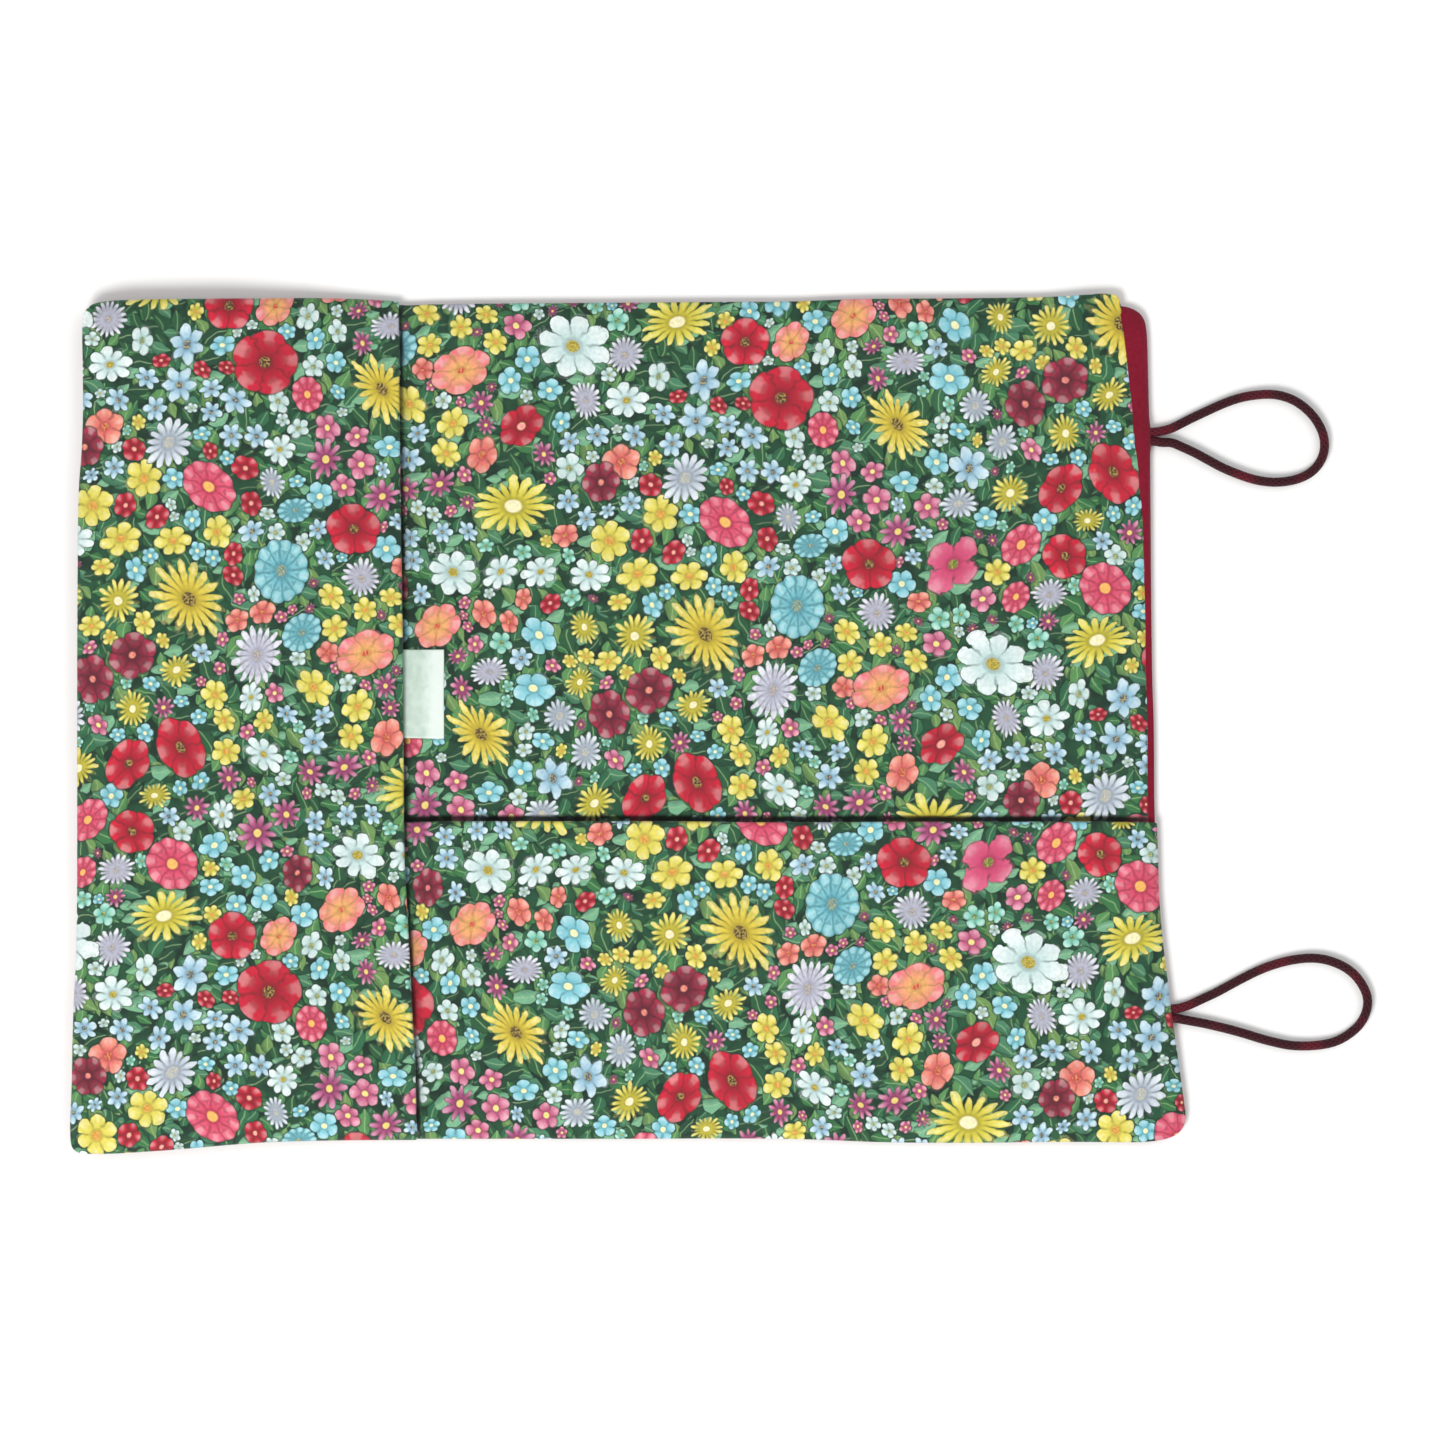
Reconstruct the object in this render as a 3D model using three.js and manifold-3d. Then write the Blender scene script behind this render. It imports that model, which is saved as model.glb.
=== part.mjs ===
// Fabric folding wallet, lying open on its outer cover. Millimetres, +Z up, +X towards the
// closing loops. Origin: bottom centre of the open wallet without its two elastic loops.
import * as THREE from 'three';
import { mergeVertices } from 'three/addons/utils/BufferGeometryUtils.js';
import Module from 'manifold-3d';

const wasm = await Module();
wasm.setup();

// ---------------------------------------------------------------- driving dimensions
const FABRIC = 0.5;            // one turned-and-pressed layer of printed cotton
const FACING = 0.4;            // the inner layer of a pocket
const WADDING = 1.8;           // compressed wadding
const GAP = 0.3;               // between neighbouring layers
const FOLD_X = -4.25;          // the fold line, a little left of the middle
const FOLD_GAP = 0.15;         // each leaf stops this far from the fold line
const LIFT = 3.6;              // how far the left leaf rides up on its two buttons
const LIFT_FROM = -58;         // the rise starts here...
const LIFT_RUN = 50;           // ...and takes this long
const DROOP = 0.7;             // the leaf sinks again past the buttons
const LOWER_MOUTH_Y = -24.8;   // top edge of the long lower pocket
const LEFT_MOUTH = [[-57.4, 110], [-57.3, 60], [-56.6, 18], [-56.0, -36], [-54.9, -57], [-53.4, -85], [-52.6, -110]];
const STEP_UP = 1.5;           // the left pocket climbs this far over the lower pocket
const STEP_FROM = -12, STEP_TO = -22;
const LABEL = { w: 9, h: 22, y: 7.1, t: 0.4 };
const CORD_R = 1.2;            // round elastic, 2.4 mm
const CORD_Z = 1.35;
const PIVOT_OUT = 2.4;         // a loop flexes this far outside the edge
const BUTTON = { r: 9, t: 2.2, x: -109, yUpper: 70.8, yLower: -72.2, holeR: 0.9, holeAt: 2.3 };

// heights of the bottom faces, above the resting surface under each leaf
const Z_COVER = 0;
const Z_WADDING = Z_COVER + FABRIC + GAP;               // 0.8
const Z_LINING = Z_WADDING + WADDING + GAP;             // 2.9
const Z_FACING = Z_LINING + FABRIC + GAP;               // 3.7
const Z_FRONT = Z_FACING + FACING + GAP;                // 4.4
const TOP = Z_FRONT + FABRIC;                           // 4.9

// the edge of the outer cover, anticlockwise from the bottom left corner
const COVER = [
  [-138.78, -104.69], [-138.16, -106.44], [-136.28, -107.06], [-128.53, -106.94], [-121.03, -106.44],
  [-113.53, -105.94], [-102.28, -104.94], [-91.03, -104.06], [-72.28, -103.69], [-44.78, -103.69],
  [-17.28, -103.69], [2.72, -103.69], [21.47, -103.56], [40.22, -103.69], [51.47, -104.06],
  [62.72, -104.56], [75.22, -104.69], [88.97, -104.69], [96.47, -104.56], [110.22, -104.44],
  [122.72, -104.56], [128.97, -104.56], [133.97, -103.94], [136.97, -102.69], [138.47, -100.69],
  [138.84, -98.19], [138.22, -94.44], [136.72, -83.19], [135.22, -73.19], [134.22, -64.44],
  [133.22, -56.94], [132.47, -49.44], [131.97, -41.94], [131.84, -34.44], [131.59, -26.94],
  [131.34, -19.44], [131.34, -9.44], [131.22, 1.81], [130.84, 10.56], [130.59, 30.56],
  [130.47, 50.56], [130.34, 68.06], [129.97, 80.56], [129.72, 93.06], [129.47, 98.56],
  [128.59, 101.56], [126.47, 103.31], [123.22, 104.31], [117.72, 105.81], [110.22, 106.31],
  [103.97, 106.31], [85.22, 106.06], [58.97, 105.94], [51.47, 105.69], [40.22, 105.19],
  [25.22, 105.19], [-2.28, 104.94], [-27.28, 104.81], [-49.78, 104.56], [-55.78, 104.19],
  [-61.03, 104.81], [-76.03, 105.31], [-94.78, 105.06], [-109.78, 104.94], [-124.78, 104.69],
  [-132.03, 104.31], [-134.78, 103.19], [-135.91, 100.56], [-135.66, 90.56], [-135.53, 78.06],
  [-135.91, 66.81], [-136.78, 58.06], [-136.98, 30.56], [-137.03, 5.56], [-137.03, -19.44],
  [-137.03, -44.44], [-137.28, -59.44], [-137.91, -69.44], [-138.28, -81.94], [-138.41, -91.94],
  [-138.84, -99.44]];

// the lining stops short of the cover down the upper right edge, where the cover rolls up beside it
const LINING_EDGE = [
  [130.64, -26.94], [130.42, -19.44], [130.38, -9.44], [130.2, 1.81], [129.84, 10.56],
  [129.62, 30.56], [129.1, 41.81], [128.3, 53.06], [127.2, 64.31], [126.1, 75.56], [125.1, 85.56],
  [124.1, 94.31], [123.1, 101.06], [122.59, 105.56], [121.72, 106.69], [119.72, 107.06],
  [115.22, 106.94], [110.22, 106.66]];
const LINING = (() => {
  const from = COVER.findIndex(([x, y]) => x === 131.59 && y === -26.94);
  const to = COVER.findIndex(([x, y]) => x === 103.97 && y === 106.31);
  return [...COVER.slice(0, from), ...LINING_EDGE, ...COVER.slice(to)];
})();

// centrelines of the elastic loops, from the flex point and back to it
const LOOP_UPPER = [
  [135.72, 73.56], [140.22, 75.81], [144.97, 78.06], [149.22, 79.94], [152.97, 81.19],
  [156.72, 81.86], [160.22, 82.06], [163.47, 81.61], [166.72, 80.31], [169.47, 78.31],
  [171.72, 75.81], [173.34, 72.81], [173.97, 69.81], [173.59, 66.81], [172.22, 64.19],
  [170.22, 62.31], [167.72, 61.06], [164.72, 60.31], [161.47, 60.06], [158.22, 60.36],
  [155.22, 61.06], [151.72, 62.31], [148.22, 63.81], [144.72, 65.69], [141.47, 67.44],
  [138.47, 68.81], [135.72, 69.94]];
const LOOP_LOWER = [
  [140.22, -70.69], [143.47, -69.19], [146.72, -67.69], [149.97, -65.94], [153.22, -64.19],
  [156.47, -62.56], [159.72, -61.19], [163.47, -60.01], [166.97, -59.31], [170.47, -59.01],
  [173.72, -59.31], [176.72, -60.19], [179.47, -61.56], [181.72, -63.44], [183.47, -65.81],
  [184.59, -68.44], [184.72, -70.94], [183.97, -73.56], [182.47, -75.94], [180.22, -77.94],
  [177.72, -79.44], [175.22, -80.31], [172.22, -80.81], [168.97, -80.99], [165.22, -80.81],
  [161.47, -80.06], [157.97, -79.14], [154.47, -78.06], [150.97, -77.06], [147.47, -76.19],
  [143.97, -75.39], [140.22, -74.69]];
const EXITS = { upper: [130.35, 71.45], lower: [135.2, -72.85] };   // where each loop leaves the edge

// ---------------------------------------------------------------- solids
const smooth = (t) => { const c = Math.min(1, Math.max(0, t)); return c * c * (3 - 2 * c); };
const lift = (x) => LIFT * smooth((LIFT_FROM - x) / LIFT_RUN) - DROOP * smooth((-121 - x) / 17);

function solid(geometry) {
  const g = geometry.clone();
  g.deleteAttribute('normal');
  g.deleteAttribute('uv');
  const m = mergeVertices(g, 1e-4);
  return new wasm.Manifold(new wasm.Mesh({
    numProp: 3,
    vertProperties: new Float32Array(m.attributes.position.array),
    triVerts: new Uint32Array(m.index.array),
  }));
}

function prism(points, z0 = -5, z1 = 20) {
  const shape = new THREE.Shape(points.map(([x, y]) => new THREE.Vector2(x, y)));
  const g = new THREE.ExtrudeGeometry(shape, { depth: z1 - z0, bevelEnabled: false });
  g.translate(0, 0, z0);
  return solid(g);
}

// a layer of cloth: a plate with grid lines at xs and ys, laid over the height field z(x, y)
function plate(xs, ys, z, thickness) {
  const nx = xs.length - 1, ny = ys.length - 1;
  const g = new THREE.BoxGeometry(1, 1, 1, nx, ny, 1);
  const p = g.attributes.position;
  for (let i = 0; i < p.count; i++) {
    const x = xs[Math.round((p.getX(i) + 0.5) * nx)];
    const y = ys[Math.round((p.getY(i) + 0.5) * ny)];
    p.setXYZ(i, x, y, z(x, y) + (p.getZ(i) > 0 ? thickness : 0));
  }
  return solid(g);
}

// the same outline, smaller by d on every side (the outline is close to a rectangle)
const inset = (points, d) => points.map(([x, y]) => [x * (1 - d / 138.8), y * (1 - d / 107)]);

const LEFT_XS = [-150, -138, -131, -124, -117, -110, -102, -94, -86, -78, -70, -62, -58, FOLD_X - FOLD_GAP];
const RIGHT_XS = [FOLD_X + FOLD_GAP, 150];
const ALL_Y = [-120, 120];
const LOWER_Y = [-120, LOWER_MOUTH_Y];

const coverPrism = prism(COVER);
const liningPrism = prism(LINING);
const waddingPrism = prism(inset(LINING, 3.6));
const bandPrism = prism(inset(COVER, 0.5)).subtract(prism(inset(LINING, 3.25)));

const left = (z, t, area, ys = ALL_Y) => plate(LEFT_XS, ys, (x) => lift(x) + z, t).intersect(area);
const right = (z, t, area, ys = ALL_Y) => plate(RIGHT_XS, ys, flatAt(z), t).intersect(area);
function flatAt(z) { return () => z; }

// the left pocket: over the lining at the top, climbing over the lower pocket further down
const pocketArea = prism([[-160, 120], [LEFT_MOUTH[0][0], 120], ...LEFT_MOUTH, [LEFT_MOUTH[6][0], -120], [-160, -120]]);
const POCKET_YS = [-120, STEP_TO, -19.5, -17, -14.5, STEP_FROM, 120];
const climb = (y) => STEP_UP * smooth((STEP_FROM - y) / (STEP_FROM - STEP_TO));
const LEFT_POCKET_XS = [...LEFT_XS.slice(0, -1), -50];
const pocket = (z, t) => plate(LEFT_POCKET_XS, POCKET_YS, (x, y) => lift(x) + z + climb(y), t)
  .intersect(pocketArea).intersect(liningPrism);

// elastic ends, flattened inside the seam and round again outside it
function loopTail([ex, ey]) {
  const tongue = new THREE.BoxGeometry(2.8, 5.0, 0.95);
  tongue.translate(ex - 0.9, ey, 1.6 + 0.475 + 0.05);
  let s = solid(tongue);
  for (const side of [-1, 1]) {
    const stub = new THREE.CylinderGeometry(CORD_R - 0.05, CORD_R - 0.05, 0.5, 10);
    stub.rotateZ(Math.PI / 2);
    stub.translate(ex + 0.45, ey + side * 1.35, CORD_Z);
    s = s.add(solid(stub));
  }
  return s;
}
function notch([ex, ey]) {
  const g = new THREE.BoxGeometry(12, 5.7, 3);
  g.translate(ex, ey, 1.3 + 1.5);
  return solid(g);
}

function loopTube(points, [ex, ey]) {
  const start = [ex + 1.3, ey + 1.35], end = [ex + 1.3, ey - 1.35];
  const path = [[start[0], start[1]], [ex + 2.6, ey + 1.4], ...points, [ex + 2.6, ey - 1.4], [end[0], end[1]]];
  const curve = new THREE.CatmullRomCurve3(path.map(([x, y]) => new THREE.Vector3(x, y, CORD_Z)), false, 'centripetal');
  const section = new THREE.Shape();
  for (let i = 0; i < 8; i++) {
    const a = (i + 0.5) * Math.PI / 4;
    section[i ? 'lineTo' : 'moveTo'](CORD_R * Math.cos(a), CORD_R * Math.sin(a));
  }
  section.closePath();
  return solid(new THREE.ExtrudeGeometry(section, { steps: 34, bevelEnabled: false, extrudePath: curve }));
}

// four-hole button with a raised rim, a dished face towards the table and a dished back
function button(y) {
  const { r, t } = BUTTON;
  const profile = [[0, 0.9], [4.6, 0.9], [5.4, 0.15], [6.2, 0], [r - 0.7, 0], [r - 0.15, 0.35], [r, 0.9],
    [r, t - 0.6], [r - 0.4, t - 0.1], [r - 1, t], [0, t]].map(([a, b]) => new THREE.Vector2(a, b));
  const disc = new THREE.LatheGeometry(profile, 32);
  disc.rotateX(Math.PI / 2);
  let s = solid(disc);
  for (const [a, b] of [[1, 1], [1, -1], [-1, 1], [-1, -1]]) {
    const hole = new THREE.CylinderGeometry(BUTTON.holeR, BUTTON.holeR, 8, 12);
    hole.rotateX(Math.PI / 2);
    hole.translate(a * BUTTON.holeAt * 0.7071, b * BUTTON.holeAt * 0.7071, 0);
    s = s.subtract(solid(hole));
  }
  return s.translate([BUTTON.x, y, 0]);
}

// sewing thread: two crossing stitches under the button, a leg up each hole, and the wound shank
function buttonThread(y) {
  const at = BUTTON.holeAt * 0.7071;
  const shank = new THREE.CylinderGeometry(2.6, 2.6, 0.75, 16);
  shank.rotateX(Math.PI / 2);
  shank.translate(0, 0, BUTTON.t + 0.3 + 0.375);
  let s = solid(shank);
  for (const [a, b] of [[1, 1], [1, -1], [-1, 1], [-1, -1]]) {
    const leg = new THREE.CylinderGeometry(0.55, 0.55, 2.6, 8);
    leg.rotateX(Math.PI / 2);
    leg.translate(a * at, b * at, 0.1 + 1.3);
    s = s.add(solid(leg));
  }
  for (const turn of [1, -1]) {
    const stitch = new THREE.BoxGeometry(2 * BUTTON.holeAt + 0.2, 0.9, 0.45);
    stitch.translate(0, 0, 0.1 + 0.225);
    stitch.rotateZ(turn * Math.PI / 4);
    s = s.add(solid(stitch));
  }
  return s.translate([BUTTON.x, y, 0]);
}

// the label: its flex line lies just outside the left pocket's mouth
const LABEL_X = -56.4 + 0.9;
const label = (() => {
  const g = new THREE.BoxGeometry(LABEL.w, LABEL.h, LABEL.t);
  g.translate(LABEL_X + LABEL.w / 2, LABEL.y, TOP - 0.45 + LABEL.t / 2);
  return solid(g);
})();

// ---------------------------------------------------------------- assembly
const MATERIALS = {
  red: { color: 0x9e1430, roughness: 0.85, metalness: 0 },
  print: { color: 0x3f7a55, roughness: 0.85, metalness: 0 },
  wadding: { color: 0xeeeae0, roughness: 0.95, metalness: 0 },
  satin: { color: 0xdfe6e0, roughness: 0.45, metalness: 0 },
  elastic: { color: 0x7a1028, roughness: 0.7, metalness: 0 },
  button: { color: 0x8c1a30, roughness: 0.3, metalness: 0 },
  thread: { color: 0x6e1226, roughness: 0.8, metalness: 0 },
};
const assembly = new THREE.Group();
assembly.name = 'fabric_folding_wallet';

function piece(name, material, s, group) {
  const m = s.getMesh();
  const stride = m.numProp;
  const xyz = new Float32Array(m.vertProperties.length / stride * 3);
  for (let i = 0; i < xyz.length / 3; i++) {
    for (let k = 0; k < 3; k++) xyz[i * 3 + k] = m.vertProperties[i * stride + k];
  }
  const g = new THREE.BufferGeometry();
  g.setAttribute('position', new THREE.BufferAttribute(xyz, 3));
  g.setIndex(new THREE.BufferAttribute(new Uint32Array(m.triVerts), 1));
  g.computeVertexNormals();
  const mesh = new THREE.Mesh(g, new THREE.MeshStandardMaterial(MATERIALS[material]));
  mesh.name = name;
  group.add(mesh);
}

const leftLeaf = new THREE.Group(), rightLeaf = new THREE.Group();
assembly.add(leftLeaf, rightLeaf);

piece('outer_cover_left', 'red', left(Z_COVER, FABRIC, coverPrism), leftLeaf);
piece('wadding_left', 'wadding', left(Z_WADDING, WADDING, waddingPrism), leftLeaf);
piece('seam_allowance_left', 'red', left(Z_WADDING, WADDING, bandPrism), leftLeaf);
piece('lining_left', 'print', left(Z_LINING, FABRIC, liningPrism), leftLeaf);
piece('lower_pocket_facing_left', 'print', left(Z_FACING, FACING, liningPrism, LOWER_Y), leftLeaf);
piece('lower_pocket_front_left', 'print', left(Z_FRONT, FABRIC, liningPrism, LOWER_Y), leftLeaf);
piece('left_pocket_facing', 'print', pocket(Z_FACING, FACING), leftLeaf);
piece('left_pocket_front', 'print', pocket(Z_FRONT, FABRIC), leftLeaf);
piece('button_upper', 'button', button(BUTTON.yUpper), leftLeaf);
piece('button_lower', 'button', button(BUTTON.yLower), leftLeaf);
piece('button_thread_upper', 'thread', buttonThread(BUTTON.yUpper), leftLeaf);
piece('button_thread_lower', 'thread', buttonThread(BUTTON.yLower), leftLeaf);

const notches = notch(EXITS.upper).add(notch(EXITS.lower));
piece('outer_cover_right', 'red', right(Z_COVER, FABRIC, coverPrism), rightLeaf);
piece('wadding_right', 'wadding', right(Z_WADDING, WADDING, waddingPrism), rightLeaf);
piece('seam_allowance_right', 'red', right(Z_WADDING, WADDING, bandPrism).subtract(notches), rightLeaf);
piece('lining_right', 'print', right(Z_LINING, FABRIC, liningPrism), rightLeaf);
piece('lower_pocket_facing_right', 'print', right(Z_FACING, FACING, liningPrism, LOWER_Y), rightLeaf);
piece('lower_pocket_front_right', 'print', right(Z_FRONT, FABRIC, liningPrism, LOWER_Y), rightLeaf);
piece('loop_tail_upper', 'elastic', loopTail(EXITS.upper), rightLeaf);
piece('loop_tail_lower', 'elastic', loopTail(EXITS.lower), rightLeaf);

piece('label', 'satin', label, assembly);
piece('loop_upper', 'elastic', loopTube(LOOP_UPPER, EXITS.upper), assembly);
piece('loop_lower', 'elastic', loopTube(LOOP_LOWER, EXITS.lower), assembly);

export default assembly;
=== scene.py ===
import math

import bpy
import numpy as np
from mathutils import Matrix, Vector


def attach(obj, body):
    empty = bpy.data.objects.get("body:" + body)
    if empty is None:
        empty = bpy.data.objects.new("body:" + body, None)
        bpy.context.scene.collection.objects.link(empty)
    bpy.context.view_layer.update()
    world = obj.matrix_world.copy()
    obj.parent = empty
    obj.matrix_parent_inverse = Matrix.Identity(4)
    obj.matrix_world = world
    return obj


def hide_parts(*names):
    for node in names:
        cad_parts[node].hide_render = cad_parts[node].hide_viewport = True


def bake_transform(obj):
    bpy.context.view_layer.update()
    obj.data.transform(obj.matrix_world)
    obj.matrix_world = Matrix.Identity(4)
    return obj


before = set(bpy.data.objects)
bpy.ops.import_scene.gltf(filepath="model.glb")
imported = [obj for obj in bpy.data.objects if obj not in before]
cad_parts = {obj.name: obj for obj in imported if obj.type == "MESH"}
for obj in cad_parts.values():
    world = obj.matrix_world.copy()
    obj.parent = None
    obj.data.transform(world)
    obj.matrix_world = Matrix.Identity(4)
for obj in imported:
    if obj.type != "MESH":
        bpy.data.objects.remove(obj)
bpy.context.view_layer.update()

MM = 0.001
scene = bpy.context.scene

# ------------------------------------------------------------------ shared sizes, mm
FOLD_X = -4.25
LIFT, LIFT_FROM, LIFT_RUN, DROOP = 3.6, -58.0, 50.0, 0.7
MOUTH_Y = -24.8                    # edge of the lower pocket's lip
LEFT_MOUTH = np.array([[-57.4, 110], [-57.3, 60], [-56.6, 18], [-56.0, -36], [-54.9, -57], [-53.4, -85], [-52.6, -110]])
Z_SEAM = 1.75                      # where cover and lining meet at the side
Z_LINING = 3.40                    # top of the lining
Z_FACING, Z_FRONT = 3.70, 4.46     # middle of a pocket's inner and outer cloth
CLOTH = 0.42
CLIMB = 1.5
CORD_R = 1.15
EXITS = {"upper": (130.35, 71.45), "lower": (135.2, -72.85)}
BUTTONS = {"upper": (-109.0, 70.8), "lower": (-109.0, -72.2)}

COVER = np.array([
    (-138.78, -104.69), (-138.16, -106.44), (-136.28, -107.06), (-128.53, -106.94), (-121.03, -106.44),
    (-113.53, -105.94), (-102.28, -104.94), (-91.03, -104.06), (-72.28, -103.69), (-44.78, -103.69),
    (-17.28, -103.69), (2.72, -103.69), (21.47, -103.56), (40.22, -103.69), (51.47, -104.06),
    (62.72, -104.56), (75.22, -104.69), (88.97, -104.69), (96.47, -104.56), (110.22, -104.44),
    (122.72, -104.56), (128.97, -104.56), (133.97, -103.94), (136.97, -102.69), (138.47, -100.69),
    (138.84, -98.19), (138.22, -94.44), (136.72, -83.19), (135.22, -73.19), (134.22, -64.44),
    (133.22, -56.94), (132.47, -49.44), (131.97, -41.94), (131.84, -34.44), (131.59, -26.94),
    (131.34, -19.44), (131.34, -9.44), (131.22, 1.81), (130.84, 10.56), (130.59, 30.56),
    (130.47, 50.56), (130.34, 68.06), (129.97, 80.56), (129.72, 93.06), (129.47, 98.56),
    (128.59, 101.56), (126.47, 103.31), (123.22, 104.31), (117.72, 105.81), (110.22, 106.31),
    (103.97, 106.31), (85.22, 106.06), (58.97, 105.94), (51.47, 105.69), (40.22, 105.19),
    (25.22, 105.19), (-2.28, 104.94), (-27.28, 104.81), (-49.78, 104.56), (-55.78, 104.19),
    (-61.03, 104.81), (-76.03, 105.31), (-94.78, 105.06), (-109.78, 104.94), (-124.78, 104.69),
    (-132.03, 104.31), (-134.78, 103.19), (-135.91, 100.56), (-135.66, 90.56), (-135.53, 78.06),
    (-135.91, 66.81), (-136.78, 58.06), (-136.98, 30.56), (-137.03, 5.56), (-137.03, -19.44),
    (-137.03, -44.44), (-137.28, -59.44), (-137.91, -69.44), (-138.28, -81.94), (-138.41, -91.94),
    (-138.84, -99.44)])
LINING_EDGE = [
    (130.64, -26.94), (130.42, -19.44), (130.38, -9.44), (130.2, 1.81), (129.84, 10.56),
    (129.62, 30.56), (129.1, 41.81), (128.3, 53.06), (127.2, 64.31), (126.1, 75.56), (125.1, 85.56),
    (124.1, 94.31), (123.1, 101.06), (122.59, 105.56), (121.72, 106.69), (119.72, 107.06),
    (115.22, 106.94), (110.22, 106.66)]
LINING = np.array(list(map(tuple, COVER[:34])) + LINING_EDGE + list(map(tuple, COVER[50:])))
CORNERS_C = [(-138.3, -106.2), (137.9, -101.7), (127.8, 102.4), (-135.2, 102.6)]
CORNERS_L = [(-138.3, -106.2), (137.9, -101.7), (122.0, 106.4), (-135.2, 102.6)]

LOOPS = {
    "upper": [
        (135.72, 73.56), (140.22, 75.81), (144.97, 78.06), (149.22, 79.94), (152.97, 81.19),
        (156.72, 81.86), (160.22, 82.06), (163.47, 81.61), (166.72, 80.31), (169.47, 78.31),
        (171.72, 75.81), (173.34, 72.81), (173.97, 69.81), (173.59, 66.81), (172.22, 64.19),
        (170.22, 62.31), (167.72, 61.06), (164.72, 60.31), (161.47, 60.06), (158.22, 60.36),
        (155.22, 61.06), (151.72, 62.31), (148.22, 63.81), (144.72, 65.69), (141.47, 67.44),
        (138.47, 68.81), (135.72, 69.94)],
    "lower": [
        (140.22, -70.69), (143.47, -69.19), (146.72, -67.69), (149.97, -65.94), (153.22, -64.19),
        (156.47, -62.56), (159.72, -61.19), (163.47, -60.01), (166.97, -59.31), (170.47, -59.01),
        (173.72, -59.31), (176.72, -60.19), (179.47, -61.56), (181.72, -63.44), (183.47, -65.81),
        (184.59, -68.44), (184.72, -70.94), (183.97, -73.56), (182.47, -75.94), (180.22, -77.94),
        (177.72, -79.44), (175.22, -80.31), (172.22, -80.81), (168.97, -80.99), (165.22, -80.81),
        (161.47, -80.06), (157.97, -79.14), (154.47, -78.06), (150.97, -77.06), (147.47, -76.19),
        (143.97, -75.39), (140.22, -74.69)]}


def smooth(t):
    t = np.clip(t, 0.0, 1.0)
    return t * t * (3 - 2 * t)


def lift(x):
    return LIFT * smooth((LIFT_FROM - x) / LIFT_RUN) - DROOP * smooth((-121 - x) / 17)


def waves(x, y, seed, lo, hi, count=9):
    """A smooth random field of about unit height, from seeded waves of length lo to hi (mm)."""
    r = np.random.default_rng(seed)
    out = np.zeros_like(np.asarray(x, float))
    for _ in range(count):
        a, w, p = r.uniform(0, 2 * np.pi), r.uniform(lo, hi), r.uniform(0, 2 * np.pi)
        k = 2 * np.pi / w
        out = out + np.sin((x * math.cos(a) + y * math.sin(a)) * k + p)
    return out / math.sqrt(count / 2)


def srgb(*c):
    """0-255 screen colour to scene linear."""
    return tuple(x / 255 / 12.92 if x / 255 <= 0.04045 else ((x / 255 + 0.055) / 1.055) ** 2.4 for x in c)


# ------------------------------------------------------------------ camera, lights, floor
def make_stage():
    cam = bpy.data.cameras.new("camera")
    cam.type = "PERSP"
    cam.sensor_width = 36
    far = 2.0
    cam.lens = 36 * far / 0.36125
    cam.clip_start, cam.clip_end = 0.05, 20
    ob = bpy.data.objects.new("camera", cam)
    ob.location = (0.02334, -0.00006, far + 0.003)
    scene.collection.objects.link(ob)
    scene.camera = ob

    def area(name, at, to, size, power, colour=(1, 1, 1)):
        d = bpy.data.lights.new(name, "AREA")
        d.shape, d.size, d.energy, d.color = "DISK", size, power, colour
        o = bpy.data.objects.new(name, d)
        o.location = at
        o.rotation_euler = (Vector(to) - Vector(at)).to_track_quat("-Z", "Y").to_euler()
        scene.collection.objects.link(o)

    area("key", (-0.58, -0.88, 1.45), (0, 0, 0), 0.80, 23.0, (1.0, 0.99, 0.97))
    area("fill", (0.9, 0.5, 1.3), (0, 0, 0), 1.2, 5.0, (0.97, 0.99, 1.0))
    world = bpy.data.worlds.new("world")
    scene.world = world
    world.use_nodes = True
    bg = world.node_tree.nodes["Background"]
    bg.inputs["Color"].default_value = (1, 1, 1, 1)
    bg.inputs["Strength"].default_value = 0.55

    me = bpy.data.meshes.new("floor")
    s = 6.0
    me.from_pydata([(-s, -s, -0.0003), (s, -s, -0.0003), (s, s, -0.0003), (-s, s, -0.0003)], [], [(0, 1, 2, 3)])
    fl = bpy.data.objects.new("floor", me)
    scene.collection.objects.link(fl)
    m = bpy.data.materials.new("floor_paper")
    m.use_nodes = True
    b = m.node_tree.nodes["Principled BSDF"]
    b.inputs["Base Color"].default_value = (0.93, 0.93, 0.93, 1)
    b.inputs["Roughness"].default_value = 0.9
    b.inputs["Specular IOR Level"].default_value = 0.2
    me.materials.append(m)
    scene.view_settings.view_transform = "Standard"
    scene.view_settings.look = "None"
    scene.view_settings.exposure = 0.0
    scene.view_settings.gamma = 1.0


make_stage()


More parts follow.
